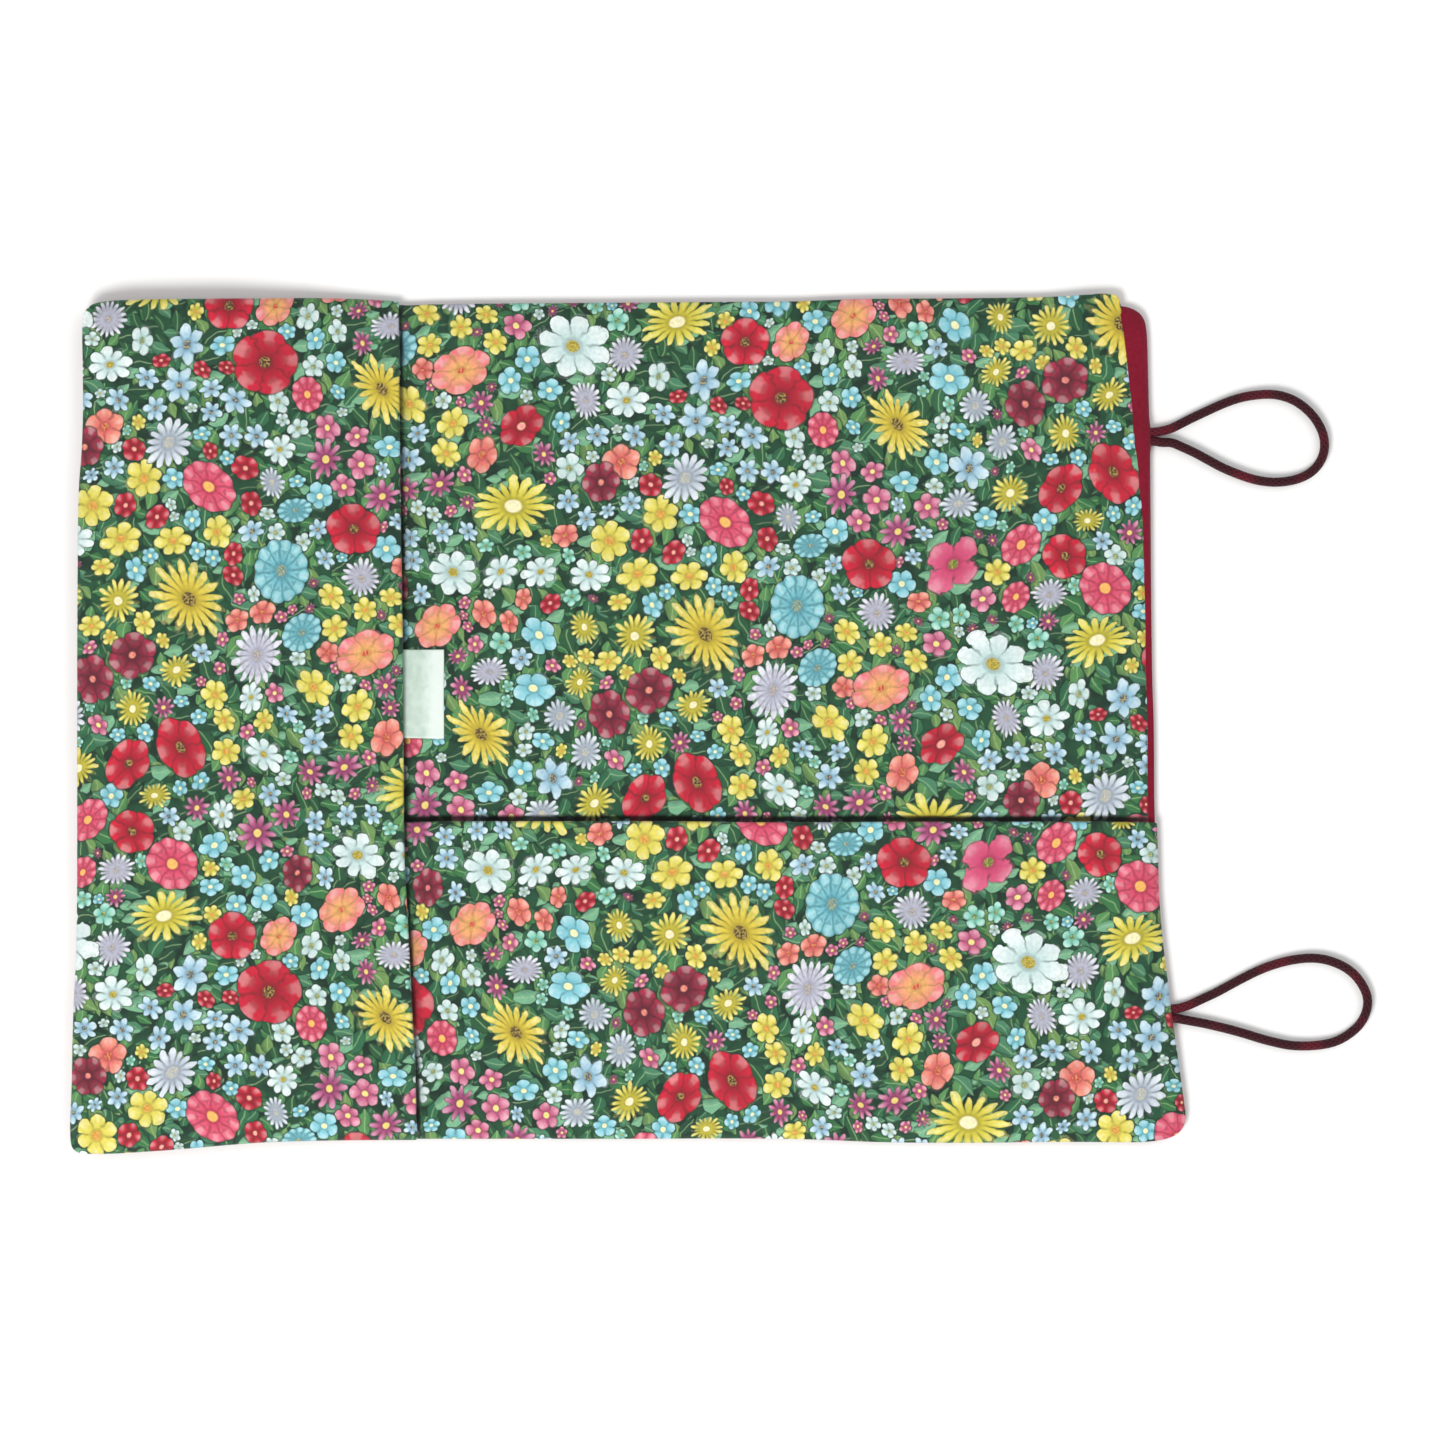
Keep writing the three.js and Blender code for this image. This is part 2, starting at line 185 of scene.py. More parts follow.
# ------------------------------------------------------------------ node helper
class Net:
    """Builds a shader tree from expressions. A value is a number, a tuple or an output socket."""

    def __init__(self, name):
        self.material = bpy.data.materials.new(name)
        self.material.use_nodes = True
        self.tree = self.material.node_tree
        self.bsdf = self.tree.nodes["Principled BSDF"]

    def node(self, kind, **props):
        n = self.tree.nodes.new(kind)
        for k, v in props.items():
            setattr(n, k, v)
        return n

    def put(self, socket, value):
        if isinstance(value, bpy.types.NodeSocket):
            self.tree.links.new(value, socket)
        elif isinstance(value, (int, float)):
            if hasattr(socket.default_value, "__len__"):
                socket.default_value = [value] * len(socket.default_value)
            else:
                socket.default_value = value
        else:
            v = list(value)
            if len(socket.default_value) == 4 and len(v) == 3:
                v.append(1.0)
            socket.default_value = v

    def m(self, op, *args):
        n = self.node("ShaderNodeMath", operation=op)
        for i, a in enumerate(args):
            self.put(n.inputs[i], a)
        return n.outputs[0]

    def add(self, a, b): return self.m("ADD", a, b)
    def sub(self, a, b): return self.m("SUBTRACT", a, b)
    def mul(self, a, b): return self.m("MULTIPLY", a, b)
    def div(self, a, b): return self.m("DIVIDE", a, b)

    def v(self, op, *args, out=0):
        n = self.node("ShaderNodeVectorMath", operation=op)
        for i, a in enumerate(args):
            self.put(n.inputs[i], a)
        return n.outputs[out]

    def scale(self, vec, s):
        n = self.node("ShaderNodeVectorMath", operation="SCALE")
        self.put(n.inputs[0], vec)
        self.put(n.inputs[3], s)
        return n.outputs[0]

    def step(self, x, a, b):
        """0 at a, 1 at b, smoothly (a may be more than b)."""
        n = self.node("ShaderNodeMapRange", interpolation_type="SMOOTHSTEP", clamp=True)
        for i, q in enumerate((x, a, b, 0.0, 1.0)):
            self.put(n.inputs[i], q)
        return n.outputs[0]

    def lerp(self, x, a, b, c, d):
        n = self.node("ShaderNodeMapRange", clamp=True)
        for i, q in enumerate((x, a, b, c, d)):
            self.put(n.inputs[i], q)
        return n.outputs[0]

    def mix(self, f, a, b, blend="MIX"):
        n = self.node("ShaderNodeMix", data_type="RGBA", blend_type=blend)
        self.put(n.inputs[0], f)
        self.put(n.inputs[6], a)
        self.put(n.inputs[7], b)
        return n.outputs[2]

    def pick(self, f, colours):
        """The colour at place f, 0-1, in a row of colours of equal width."""
        n = self.node("ShaderNodeValToRGB")
        r = n.color_ramp
        r.interpolation = "CONSTANT"
        while len(r.elements) < len(colours):
            r.elements.new(1.0)
        for k, (e, c) in enumerate(zip(r.elements, colours)):
            e.position = k / len(colours)
            e.color = (*c[:3], 1.0)
        self.put(n.inputs[0], f)
        return n.outputs[0]

    def xyz(self, vec):
        n = self.node("ShaderNodeSeparateXYZ")
        self.put(n.inputs[0], vec)
        return n.outputs

    def join(self, x, y, z=0.0):
        n = self.node("ShaderNodeCombineXYZ")
        for i, q in enumerate((x, y, z)):
            self.put(n.inputs[i], q)
        return n.outputs[0]

    def rgb(self, colour):
        n = self.node("ShaderNodeSeparateColor")
        self.put(n.inputs[0], colour)
        return n.outputs

    def voronoi(self, vec, randomness=1.0):
        n = self.node("ShaderNodeTexVoronoi", voronoi_dimensions="2D", feature="F1")
        self.put(n.inputs["Vector"], vec)
        n.inputs["Scale"].default_value = 1.0
        n.inputs["Randomness"].default_value = randomness
        return n

    def noise(self, vec, scale, detail=2.0, rough=0.5, dims="2D", out=0):
        n = self.node("ShaderNodeTexNoise", noise_dimensions=dims)
        self.put(n.inputs["Vector"], vec)
        n.inputs["Scale"].default_value = scale
        n.inputs["Detail"].default_value = detail
        n.inputs["Roughness"].default_value = rough
        return n.outputs[out]

    def white(self, vec):
        n = self.node("ShaderNodeTexWhiteNoise", noise_dimensions="2D")
        self.put(n.inputs["Vector"], vec)
        return n.outputs["Value"], n.outputs["Color"]

    def uv(self, name):
        return self.node("ShaderNodeUVMap", uv_map=name).outputs[0]

    def bump(self, height, strength, distance):
        n = self.node("ShaderNodeBump")
        n.inputs["Strength"].default_value = strength
        n.inputs["Distance"].default_value = distance
        self.put(n.inputs["Height"], height)
        return n.outputs[0]

    def finish(self, colour, rough, normal, **fixed):
        self.put(self.bsdf.inputs["Base Color"], colour)
        self.put(self.bsdf.inputs["Roughness"], rough)
        self.put(self.bsdf.inputs["Normal"], normal)
        for k, v in fixed.items():
            self.bsdf.inputs[k.replace("_", " ")].default_value = v
        return self.material


# ------------------------------------------------------------------ the floral print: kinds of bloom
DEEP, OUTLINE = srgb(10, 40, 30), srgb(10, 30, 24)
# petals, notch depth, pointedness, centre radius, double (rings of petals), outer, inner and centre colour
KINDS = {
    "daisy":     (17, 0.50, 0.42, 0.17, 0.4, srgb(240, 224, 100), srgb(216, 190, 56), srgb(74, 50, 22)),
    "sun":       (16, 0.52, 0.40, 0.19, 0.0, srgb(238, 226, 96), srgb(204, 190, 54), srgb(244, 240, 204)),
    "cosmos":    (8, 0.42, 0.26, 0.17, 0.0, srgb(236, 247, 246), srgb(196, 224, 222), srgb(158, 144, 50)),
    "poppy":     (5, 0.12, 0.45, 0.17, 0.5, srgb(216, 24, 58), srgb(164, 8, 40), srgb(66, 14, 26)),
    "ranunculus": (9, 0.07, 0.50, 0.20, 1.0, srgb(232, 100, 128), srgb(218, 66, 100), srgb(246, 176, 96)),
    "rose":      (6, 0.15, 0.50, 0.13, 0.8, srgb(236, 110, 134), srgb(246, 184, 108), srgb(206, 60, 66)),
    "zinnia":    (12, 0.07, 0.50, 0.18, 1.0, srgb(148, 214, 222), srgb(104, 180, 194), srgb(88, 136, 142)),
    "mum":       (14, 0.34, 0.50, 0.22, 0.0, srgb(224, 232, 240), srgb(178, 190, 206), srgb(164, 174, 188)),
    "aster":     (17, 0.36, 0.55, 0.16, 0.7, srgb(232, 232, 242), srgb(196, 196, 216), srgb(150, 150, 172)),
    "fourpetal": (4, 0.38, 0.42, 0.14, 0.0, srgb(232, 106, 144), srgb(206, 66, 110), srgb(92, 108, 46)),
    "maroon":    (6, 0.16, 0.50, 0.14, 1.0, srgb(170, 40, 72), srgb(104, 16, 42), srgb(222, 100, 122)),
    "gold":      (6, 0.30, 0.42, 0.20, 0.0, srgb(238, 228, 112), srgb(220, 204, 78), srgb(212, 144, 58)),
    "snow":      (5, 0.32, 0.42, 0.22, 0.0, srgb(216, 232, 230), srgb(190, 222, 218), srgb(116, 140, 108)),
    "sky":       (5, 0.28, 0.42, 0.20, 0.0, srgb(160, 220, 230), srgb(116, 192, 206), srgb(236, 240, 196)),
    "star":      (6, 0.34, 0.90, 0.19, 0.0, srgb(206, 232, 242), srgb(148, 192, 216), srgb(70, 92, 112)),
    "mauve":     (9, 0.40, 1.00, 0.18, 0.0, srgb(206, 116, 158), srgb(156, 60, 110), srgb(232, 204, 120)),
    "coral":     (5, 0.20, 0.45, 0.20, 0.0, srgb(240, 152, 128), srgb(222, 98, 98), srgb(190, 54, 62)),
    "crimson":   (5, 0.16, 0.45, 0.18, 0.0, srgb(210, 24, 56), srgb(152, 10, 38), srgb(244, 150, 156)),
    "mint":      (5, 0.32, 0.50, 0.20, 0.0, srgb(172, 228, 212), srgb(120, 198, 174), srgb(74, 126, 88)),
    "blush":     (5, 0.28, 0.50, 0.20, 0.0, srgb(228, 140, 168), srgb(190, 80, 122), srgb(238, 222, 142)),
}
NAMES = list(KINDS)

# The print repeats on this lattice, mm. The largest blooms are listed one by one; the rest is sown round them.
REPEAT = np.array([(105.0, -79.5), (1.0, -157.0)])
LARGE = [
    ("sun", -29, 54, 11.8), ("daisy", 19, 22, 12.2), ("daisy", -37, -3, 11.0), ("sun", 12, 100, 10.8),
    ("cosmos", -14, 94, 10.8), ("rose", -42, 88, 8.2), ("poppy", 38, 81, 8.8), ("poppy", 29, 95, 6.4),
    ("crimson", -27, 74, 6.6), ("ranunculus", 24, 50, 7.8), ("mum", 14, 61, 7.6), ("zinnia", 42, 29, 8.4),
    ("aster", 36, 8, 8.6), ("poppy", 17, -15, 8.6), ("poppy", 4, -19, 7.2), ("maroon", -5, 2, 6.6),
    ("maroon", 5, 8, 6.4), ("fourpetal", -23, -38, 9.8), ("poppy", -44, -38, 7.4), ("rose", -48, 24, 7.0),
    ("star", -19, -14, 6.2), ("poppy", 5, -36, 6.2), ("ranunculus", 15, -44, 7.2), ("cosmos", 61, -42, 7.8),
    ("coral", -2, 65, 5.2), ("maroon", -7, 60, 5.4)]
SIZES = [   # how many, radius from, to, and the kinds with their shares
    (50, 4.3, 6.2, {"poppy": 6, "ranunculus": 5, "rose": 8, "zinnia": 14, "mum": 13, "aster": 9, "maroon": 8,
                    "sun": 11, "star": 11, "sky": 12, "coral": 4, "mauve": 6, "cosmos": 12, "gold": 8}),
    (125, 3.1, 4.3, {"gold": 14, "snow": 23, "sky": 17, "star": 14, "mauve": 8, "coral": 5, "crimson": 7,
                     "mint": 9, "blush": 7}),
    (130, 2.3, 3.1, {"snow": 23, "sky": 17, "mint": 16, "gold": 8, "blush": 11, "mauve": 10, "star": 9,
                     "crimson": 4, "coral": 4}),
    (60, 1.6, 2.2, {"snow": 27, "sky": 17, "mint": 24, "gold": 9, "blush": 10, "mauve": 9})]


def sow():
    """All blooms of one repeat: kind, centre, radius, and the 2x2 map to their own unit disc."""
    rng = np.random.default_rng(4)
    shifts = np.array([i * REPEAT[0] + j * REPEAT[1] for i in (-1, 0, 1) for j in (-1, 0, 1)])
    inverse = np.linalg.inv(REPEAT)
    clumps = [(rng.random(2) @ REPEAT, i) for i in range(26)]
    kinds, at, rad = [], [], []
    for k, x, y, r in LARGE:
        kinds.append(k), at.append((float(x), float(y))), rad.append(r)
    for count, lo, hi, mixture in SIZES:
        names, share = list(mixture), np.array(list(mixture.values()), float)
        of_clump = [names[rng.choice(len(names), p=share / share.sum())] for _ in clumps]
        placed = tries = 0
        while placed < count and tries < 5000:
            tries += 1
            p = rng.random(2) @ REPEAT
            r = rng.uniform(lo, hi)
            d = np.linalg.norm((np.array(at)[:, None] + shifts[None]) - p, axis=2).min(1)
            if (d < (np.array(rad) + r) * 0.80).any():
                continue
            c = min(clumps, key=lambda q: np.linalg.norm(q[0] + shifts - p, axis=1).min())[1]
            k = of_clump[c] if rng.random() < 0.82 else names[rng.choice(len(names), p=share / share.sum())]
            kinds.append(k), at.append(tuple(p)), rad.append(r)
            placed += 1
    at, rad = np.array(at), np.array(rad)
    turn, tilt = rng.uniform(0, 2 * np.pi, len(at)), rng.uniform(1.0, 1.38, len(at))
    tilt[[2, 3]] = 1.5
    spin = rng.uniform(0, 2 * np.pi, len(at))

    def rot(a):
        return np.stack([np.stack([np.cos(a), -np.sin(a)], -1), np.stack([np.sin(a), np.cos(a)], -1)], -2)

    squeeze = np.zeros((len(at), 2, 2))
    squeeze[:, 0, 0], squeeze[:, 1, 1] = 1.0, tilt
    to_disc = rot(spin) @ squeeze @ rot(turn) / rad[:, None, None]
    # copies over everything that the cloth uses
    out = []
    for i in range(-4, 5):
        for j in range(-5, 6):
            c = at + i * REPEAT[0] + j * REPEAT[1]
            ok = (c[:, 0] > -175) & (c[:, 0] < 190) & (c[:, 1] > -150) & (c[:, 1] < 165)
            for n in np.nonzero(ok)[0]:
                out.append((NAMES.index(kinds[n]), *c[n], rad[n], rng.random(), *to_disc[n].ravel()))
    return np.array(out)


BLOOMS = sow()
SLOTS = 3


def plant(mesh):
    """Gives each face the blooms that reach it: in UV maps their own coordinates, in colours their kind, seed and radius."""
    loops = len(mesh.loops)
    uv = np.zeros(loops * 2, np.float32)
    mesh.uv_layers["Print"].uv.foreach_get("vector", uv)
    p = uv.reshape(-1, 2).astype(float) * 10
    start = np.zeros(len(mesh.polygons), np.int64)
    total = np.zeros(len(mesh.polygons), np.int64)
    mesh.polygons.foreach_get("loop_start", start)
    mesh.polygons.foreach_get("loop_total", total)
    face_of = np.repeat(np.arange(len(start)), total)
    centre = np.stack([np.bincount(face_of, p[:, k], len(start)) for k in (0, 1)], 1) / total[:, None]
    c, r = BLOOMS[:, 1:3], BLOOMS[:, 3]
    best = np.zeros((len(centre), SLOTS), np.int64)
    gap = np.zeros((len(centre), SLOTS))
    order = np.argsort(np.round(centre[:, 1] / 20) * 1000 + centre[:, 0])
    for i in range(0, len(order), 1200):
        f = order[i:i + 1200]
        q = centre[f]
        lo, hi = q.min(0) - 14, q.max(0) + 14
        near = np.nonzero(((c > lo) & (c < hi)).all(1))[0]
        if len(near) < SLOTS:
            near = np.arange(len(c))
        d = np.sqrt(((q[:, None] - c[near][None]) ** 2).sum(2)) - r[near][None]
        pick = np.argpartition(d, SLOTS - 1, axis=1)[:, :SLOTS]
        best[f] = near[pick]
        gap[f] = np.take_along_axis(d, pick, 1)
    # larger blooms lie over smaller ones
    rank = np.argsort(r[best], axis=1)
    best, gap = np.take_along_axis(best, rank, 1), np.take_along_axis(gap, rank, 1)
    for s in range(SLOTS):
        b = best[face_of, s]
        m = BLOOMS[b, 5:9].reshape(-1, 2, 2)
        local = np.einsum("nij,nj->ni", m, p - c[b])
        layer = mesh.uv_layers.new(name=f"Bloom{s}")
        layer.uv.foreach_set("vector", local.astype(np.float32).ravel())
        data = np.zeros((loops, 4), np.float32)
        data[:, 0] = (BLOOMS[b, 0] + 0.5) / len(NAMES)
        data[:, 1] = BLOOMS[b, 4]
        data[:, 2] = np.where(gap[face_of, s] < 2.5, r[b] / 10, 0.0)
        data[:, 3] = 1.0
        col = mesh.color_attributes.new(name=f"bloom_{s}", type="FLOAT_COLOR", domain="CORNER")
        col.data.foreach_set("color", data.ravel())
    mesh.uv_layers.active = mesh.uv_layers["Print"]


def paint_bloom(g, below, slot, p, wander, wob, dots):
    """Paints the blooms of one slot over the colour `below`."""
    at = g.node("ShaderNodeAttribute", attribute_type="GEOMETRY", attribute_name=f"bloom_{slot}")
    kind, seed, radius = g.rgb(at.outputs["Color"])[:3]
    there = g.m("GREATER_THAN", radius, 0.01)
    safe = g.m("MAXIMUM", radius, 0.05)
    q = g.v("ADD", g.uv(f"Bloom{slot}"), g.scale(wander, g.div(0.055, safe)))
    shape = g.rgb(g.pick(kind, [(k[0] / 20, k[1], k[2] / 2) for k in KINDS.values()]))
    extra = g.rgb(g.pick(kind, [(k[3], k[4], 0) for k in KINDS.values()]))
    outer = g.pick(kind, [k[5] for k in KINDS.values()])
    inner = g.pick(kind, [k[6] for k in KINDS.values()])
    eye = g.pick(kind, [k[7] for k in KINDS.values()])
    n = g.m("ROUND", g.mul(shape[0], 20.0))
    depth, point = shape[1], g.mul(shape[2], 2.0)
    centre_r, double = extra[0], extra[1]

    x, y, _ = g.xyz(q)
    r = g.v("LENGTH", q, out=1)
    turns = g.mul(g.mul(g.m("ARCTAN2", y, x), n), 1 / (2 * math.pi))      # petals round from the x axis
    turns = g.add(turns, g.mul(wob, 0.34))
    which = g.m("WRAP", g.m("FLOOR", g.add(turns, 0.5)), n, 0.0)
    own, own_c = g.white(g.join(g.add(g.mul(seed, 91.7), which), g.mul(seed, 37.3)))
    own2 = g.rgb(own_c)[1]
    c = g.m("ABSOLUTE", g.m("COSINE", g.mul(turns, math.pi)))
    lobe = g.m("POWER", c, g.mul(point, 1.6))
    tip = g.sub(0.97, g.mul(g.mul(depth, 0.55), own))
    edge = g.sub(tip, g.mul(depth, g.sub(1.0, lobe)))
    away = g.mul(g.sub(r, edge), safe)                                    # cm outside the petal's edge
    petal = g.mul(g.step(away, 0.006, -0.006), there)
    rim = g.mul(g.step(away, 0.050, 0.018), there)

    # petals: deeper throat, pale tips, streaks, a dark line between two petals, each one its own tone
    col = g.mix(g.step(r, 0.12, 0.80), inner, outer)
    streak = g.m("SINE", g.add(g.mul(turns, 18.85), g.mul(own2, 6.0)))
    col = g.mix(g.mul(g.step(streak, 0.0, 1.0), 0.24), col, inner)
    col = g.mix(g.mul(g.mul(g.step(c, 0.70, 1.0), g.step(r, 0.40, 0.80)), 0.22), col, (1.0, 1.0, 0.97, 1))
    col = g.mix(g.mul(own, 0.34), col, g.mix(0.30, inner, OUTLINE))
    seam = g.mul(g.div(g.mul(g.mul(c, r), 0.64), n), safe)                # cm from the line between petals
    line = g.mul(g.step(seam, 0.016, 0.004), g.step(r, 0.20, 0.45))
    col = g.mix(g.mul(line, 0.70), col, g.mix(0.55, inner, OUTLINE))
    # rings of petals on double flowers
    t = g.mul(r, 3.2)
    ring = g.m("FLOOR", t)
    ck = g.m("ABSOLUTE", g.m("COSINE", g.mul(g.add(turns, g.mul(ring, 0.5)), math.pi)))
    scallop = g.step(g.sub(g.m("FRACT", t), g.sub(1.0, g.mul(g.sub(1.0, ck), 0.5))), -0.14, 0.10)
    col = g.mix(g.mul(g.mul(scallop, double), 0.62), col, g.mix(0.42, inner, OUTLINE))
    shade = g.step(g.add(g.mul(x, 0.7), g.mul(y, -0.5)), 0.10, 0.95)
    col = g.mix(g.mul(shade, 0.22), col, g.mix(0.30, inner, OUTLINE))
    # centre
    from_eye = g.sub(r, centre_r)
    col = g.mix(g.mul(g.step(from_eye, 0.14, 0.03), 0.62), col, g.mix(0.45, inner, OUTLINE))
    col = g.mix(g.step(from_eye, 0.02, -0.03), col, g.mix(g.mul(dots, 0.45), eye, srgb(240, 214, 110)))
    out = g.mix(g.mul(rim, 0.82), below, OUTLINE)
    return g.mix(petal, out, col)


LEAVES = [srgb(56, 118, 66), srgb(36, 88, 52), srgb(90, 146, 84), srgb(26, 68, 44), srgb(74, 132, 98),
          srgb(112, 150, 84), srgb(44, 106, 70), srgb(122, 180, 142)]


def leaf_layer(g, below, p, cell, seed, presence, width=0.21):
    """Leaves about a cell long, one to a cell."""
    q = g.v("ADD", g.scale(p, 1.0 / cell), (seed * 5.17, seed * 2.39, 0.0))
    vor = g.voronoi(q, 0.9)
    local = g.v("SUBTRACT", q, vor.outputs["Position"])
    value, colour = g.white(g.v("ADD", vor.outputs["Position"], (0.3, seed * 1.7, 0.0)))
    r1, r2, r3 = g.rgb(colour)[:3]
    turn = g.node("ShaderNodeVectorRotate", rotation_type="Z_AXIS")
    g.put(turn.inputs["Vector"], local)
    g.put(turn.inputs["Angle"], g.mul(r1, 2 * math.pi))
    lx, ly, _ = g.xyz(turn.outputs[0])
    ly = g.add(ly, g.mul(g.mul(lx, lx), g.lerp(r2, 0, 1, -0.5, 0.5)))
    body = g.sub(1.0, g.m("POWER", g.m("ABSOLUTE", g.div(lx, 0.60)), 1.6))
    away = g.sub(g.m("ABSOLUTE", ly), g.mul(body, width))
    on = g.m("LESS_THAN", r3, presence)
    leaf = g.mul(g.step(away, 0.015, -0.02), on)
    rim = g.mul(g.step(away, 0.075, 0.02), on)
    green = g.pick(value, LEAVES)
    vein = g.step(g.m("ABSOLUTE", ly), 0.030, 0.012)
    ribs = g.step(g.m("SINE", g.mul(g.add(g.m("ABSOLUTE", ly), g.mul(lx, 0.8)), 48.0)), 0.55, 0.95)
    green = g.mix(g.mul(ribs, 0.28), green, srgb(30, 76, 52))
    green = g.mix(g.mul(vein, 0.50), green, srgb(168, 200, 146))
    green = g.mix(g.mul(g.step(ly, -0.02, width * 0.9), 0.42), green, srgb(20, 64, 46))
    out = g.mix(g.mul(rim, 0.75), below, OUTLINE)
    return g.mix(leaf, out, green)


def weave(g, p, thread_cm=0.030):
    """Height and brightness of a plain weave: over-and-under threads with slubs."""
    k = math.pi / thread_cm
    x, y, _ = g.xyz(p)
    over = g.mul(g.m("SINE", g.mul(x, k)), g.m("SINE", g.mul(y, k)))
    slub = g.noise(p, 9.0, 3.0)
    fine = g.noise(p, 60.0, 2.0)
    return g.add(g.mul(over, 0.5), g.add(g.mul(slub, 1.2), g.mul(fine, 0.8))), over, slub


def print_material():
    g = Net("printed_cotton")
    raw = g.uv("Print")
    wander = g.v("SUBTRACT", g.noise(raw, 2.6, 2.0, out=1), (0.5, 0.5, 0.5))
    wob = g.sub(g.noise(raw, 5.0, 1.0), 0.5)
    dots = g.step(g.noise(raw, 22.0, 0.0), 0.45, 0.62)
    p = g.v("MULTIPLY", g.v("ADD", raw, g.scale(wander, 0.12)), (1, 1, 0))
    col = g.mix(g.step(g.noise(p, 1.4, 3.0), 0.35, 0.65), srgb(8, 40, 26), srgb(26, 76, 48))
    col = leaf_layer(g, col, p, 0.36, 1, 0.98, 0.33)
    col = leaf_layer(g, col, p, 0.48, 2, 0.85, 0.32)
    col = leaf_layer(g, col, p, 0.64, 4, 0.55, 0.30)
    for s in range(SLOTS):
        col = paint_bloom(g, col, s, p, wander, wob, dots)
    col = g.mix(0.04, col, srgb(84, 104, 98))
    mouth_shadow = g.node("ShaderNodeAttribute", attribute_type="GEOMETRY", attribute_name="MouthShadow").outputs["Fac"]
    col = g.mix(g.mul(mouth_shadow, 0.97), col, srgb(5, 9, 8))               # painted shadow along the pocket mouths, darkening the print almost to black
    h, over, slub = weave(g, raw)
    # lighter on the crowns of the threads
    col = g.mix(g.mul(g.step(over, 0.2, 1.0), 0.06), col, (1, 1, 1, 1))
    col = g.mix(g.mul(g.step(slub, 0.60, 0.40), 0.10), col, srgb(20, 40, 30))
    return g.finish(col, g.lerp(slub, 0.3, 0.7, 0.78, 0.92), g.bump(h, 0.35, 0.00006),
                    Sheen_Weight=0.10, Sheen_Roughness=0.5, Specular_IOR_Level=0.25)


def red_material():
    g = Net("outer_cotton")
    raw = g.uv("Print")
    h, over, slub = weave(g, raw)
    mottle = g.noise(raw, 0.6, 3.0)
    col = g.mix(g.step(mottle, 0.3, 0.7), srgb(116, 4, 32), srgb(126, 5, 38))
    col = g.mix(g.mul(g.step(slub, 0.45, 0.70), 0.35), col, srgb(100, 6, 28))
    col = g.mix(g.mul(g.step(over, 0.3, 1.0), 0.10), col, srgb(190, 60, 84))
    return g.finish(col, g.lerp(slub, 0.3, 0.7, 0.80, 0.93), g.bump(h, 0.5, 0.00006),
                    Sheen_Weight=0.12, Sheen_Roughness=0.5, Specular_IOR_Level=0.25)


def satin_material():
    g = Net("label_satin")
    raw = g.uv("Print")                 # x along the ribbon's width, y along its length, cm
    x, y, _ = g.xyz(raw)
    rib = g.m("SINE", g.mul(x, 2 * math.pi / 0.022))
    weft = g.m("SINE", g.mul(y, 2 * math.pi / 0.028))
    soft = g.noise(raw, 5.0, 3.0)
    grain = g.noise(raw, 45.0, 2.0)
    col = g.mix(g.step(soft, 0.3, 0.7), srgb(182, 202, 190), srgb(194, 212, 200))
    col = g.mix(g.mul(g.step(g.add(y, g.mul(soft, 0.16)), 0.84, 1.22), 0.85), col, srgb(226, 236, 230))   # painted highlight where it turns to the light at its fold; the darker base elsewhere is painted shade
    col = g.mix(g.mul(g.step(g.add(rib, weft), 0.6, 1.8), 0.14), col, srgb(178, 194, 182))
    col = g.mix(g.mul(g.step(grain, 0.50, 0.72), 0.12), col, srgb(160, 178, 164))
    return g.finish(col, g.lerp(soft, 0.3, 0.7, 0.34, 0.46),
                    g.bump(g.add(g.mul(rib, 0.4), g.mul(weft, 0.3)), 0.3, 0.00003), Sheen_Weight=0.2)


def elastic_material():
    g = Net("elastic")
    raw = g.uv("Print")                 # x runs round the cord 0-1, y along it in cm
    u, w, _ = g.xyz(raw)
    turns = g.mul(u, 2 * math.pi * 6)
    along = g.mul(w, 2 * math.pi / 0.16)
    a = g.m("SINE", g.add(turns, along))
    b = g.m("SINE", g.sub(turns, along))
    braid = g.m("MAXIMUM", a, b)
    which = g.step(g.sub(a, b), -0.15, 0.15)
    grain = g.noise(g.join(g.mul(u, 0.8), w), 30.0, 2.0)
    worn = g.noise(g.join(0.0, w), 0.8, 1.0)
    col = g.mix(which, srgb(36, 3, 9), srgb(54, 4, 14))
    col = g.mix(g.mul(g.step(worn, 0.50, 0.66), 0.55), col, srgb(118, 10, 36))
    col = g.mix(g.mul(g.step(braid, 0.80, 1.0), 0.40), col, srgb(96, 20, 40))
    col = g.mix(g.mul(g.step(braid, 0.35, 0.05), 0.7), col, srgb(20, 4, 9))
    col = g.mix(g.mul(g.step(grain, 0.55, 0.7), 0.12), col, srgb(150, 40, 66))
    return g.finish(col, g.lerp(grain, 0.3, 0.7, 0.50, 0.68),
                    g.bump(g.add(braid, g.mul(grain, 0.3)), 0.9, 0.00012), Sheen_Weight=0.04, Specular_IOR_Level=0.22)


def button_material():
    g = Net("button")
    co = g.node("ShaderNodeTexCoord").outputs["Object"]
    swirl = g.noise(co, 190.0, 4.0, dims="3D")
    fine = g.noise(co, 1400.0, 2.0, dims="3D")
    col = g.mix(g.step(swirl, 0.35, 0.65), srgb(122, 14, 38), srgb(160, 30, 60))
    col = g.mix(g.mul(g.step(fine, 0.6, 0.8), 0.3), col, srgb(206, 92, 112))
    return g.finish(col, g.lerp(fine, 0.3, 0.7, 0.18, 0.30), g.bump(fine, 0.15, 0.00003), Coat_Weight=0.3)


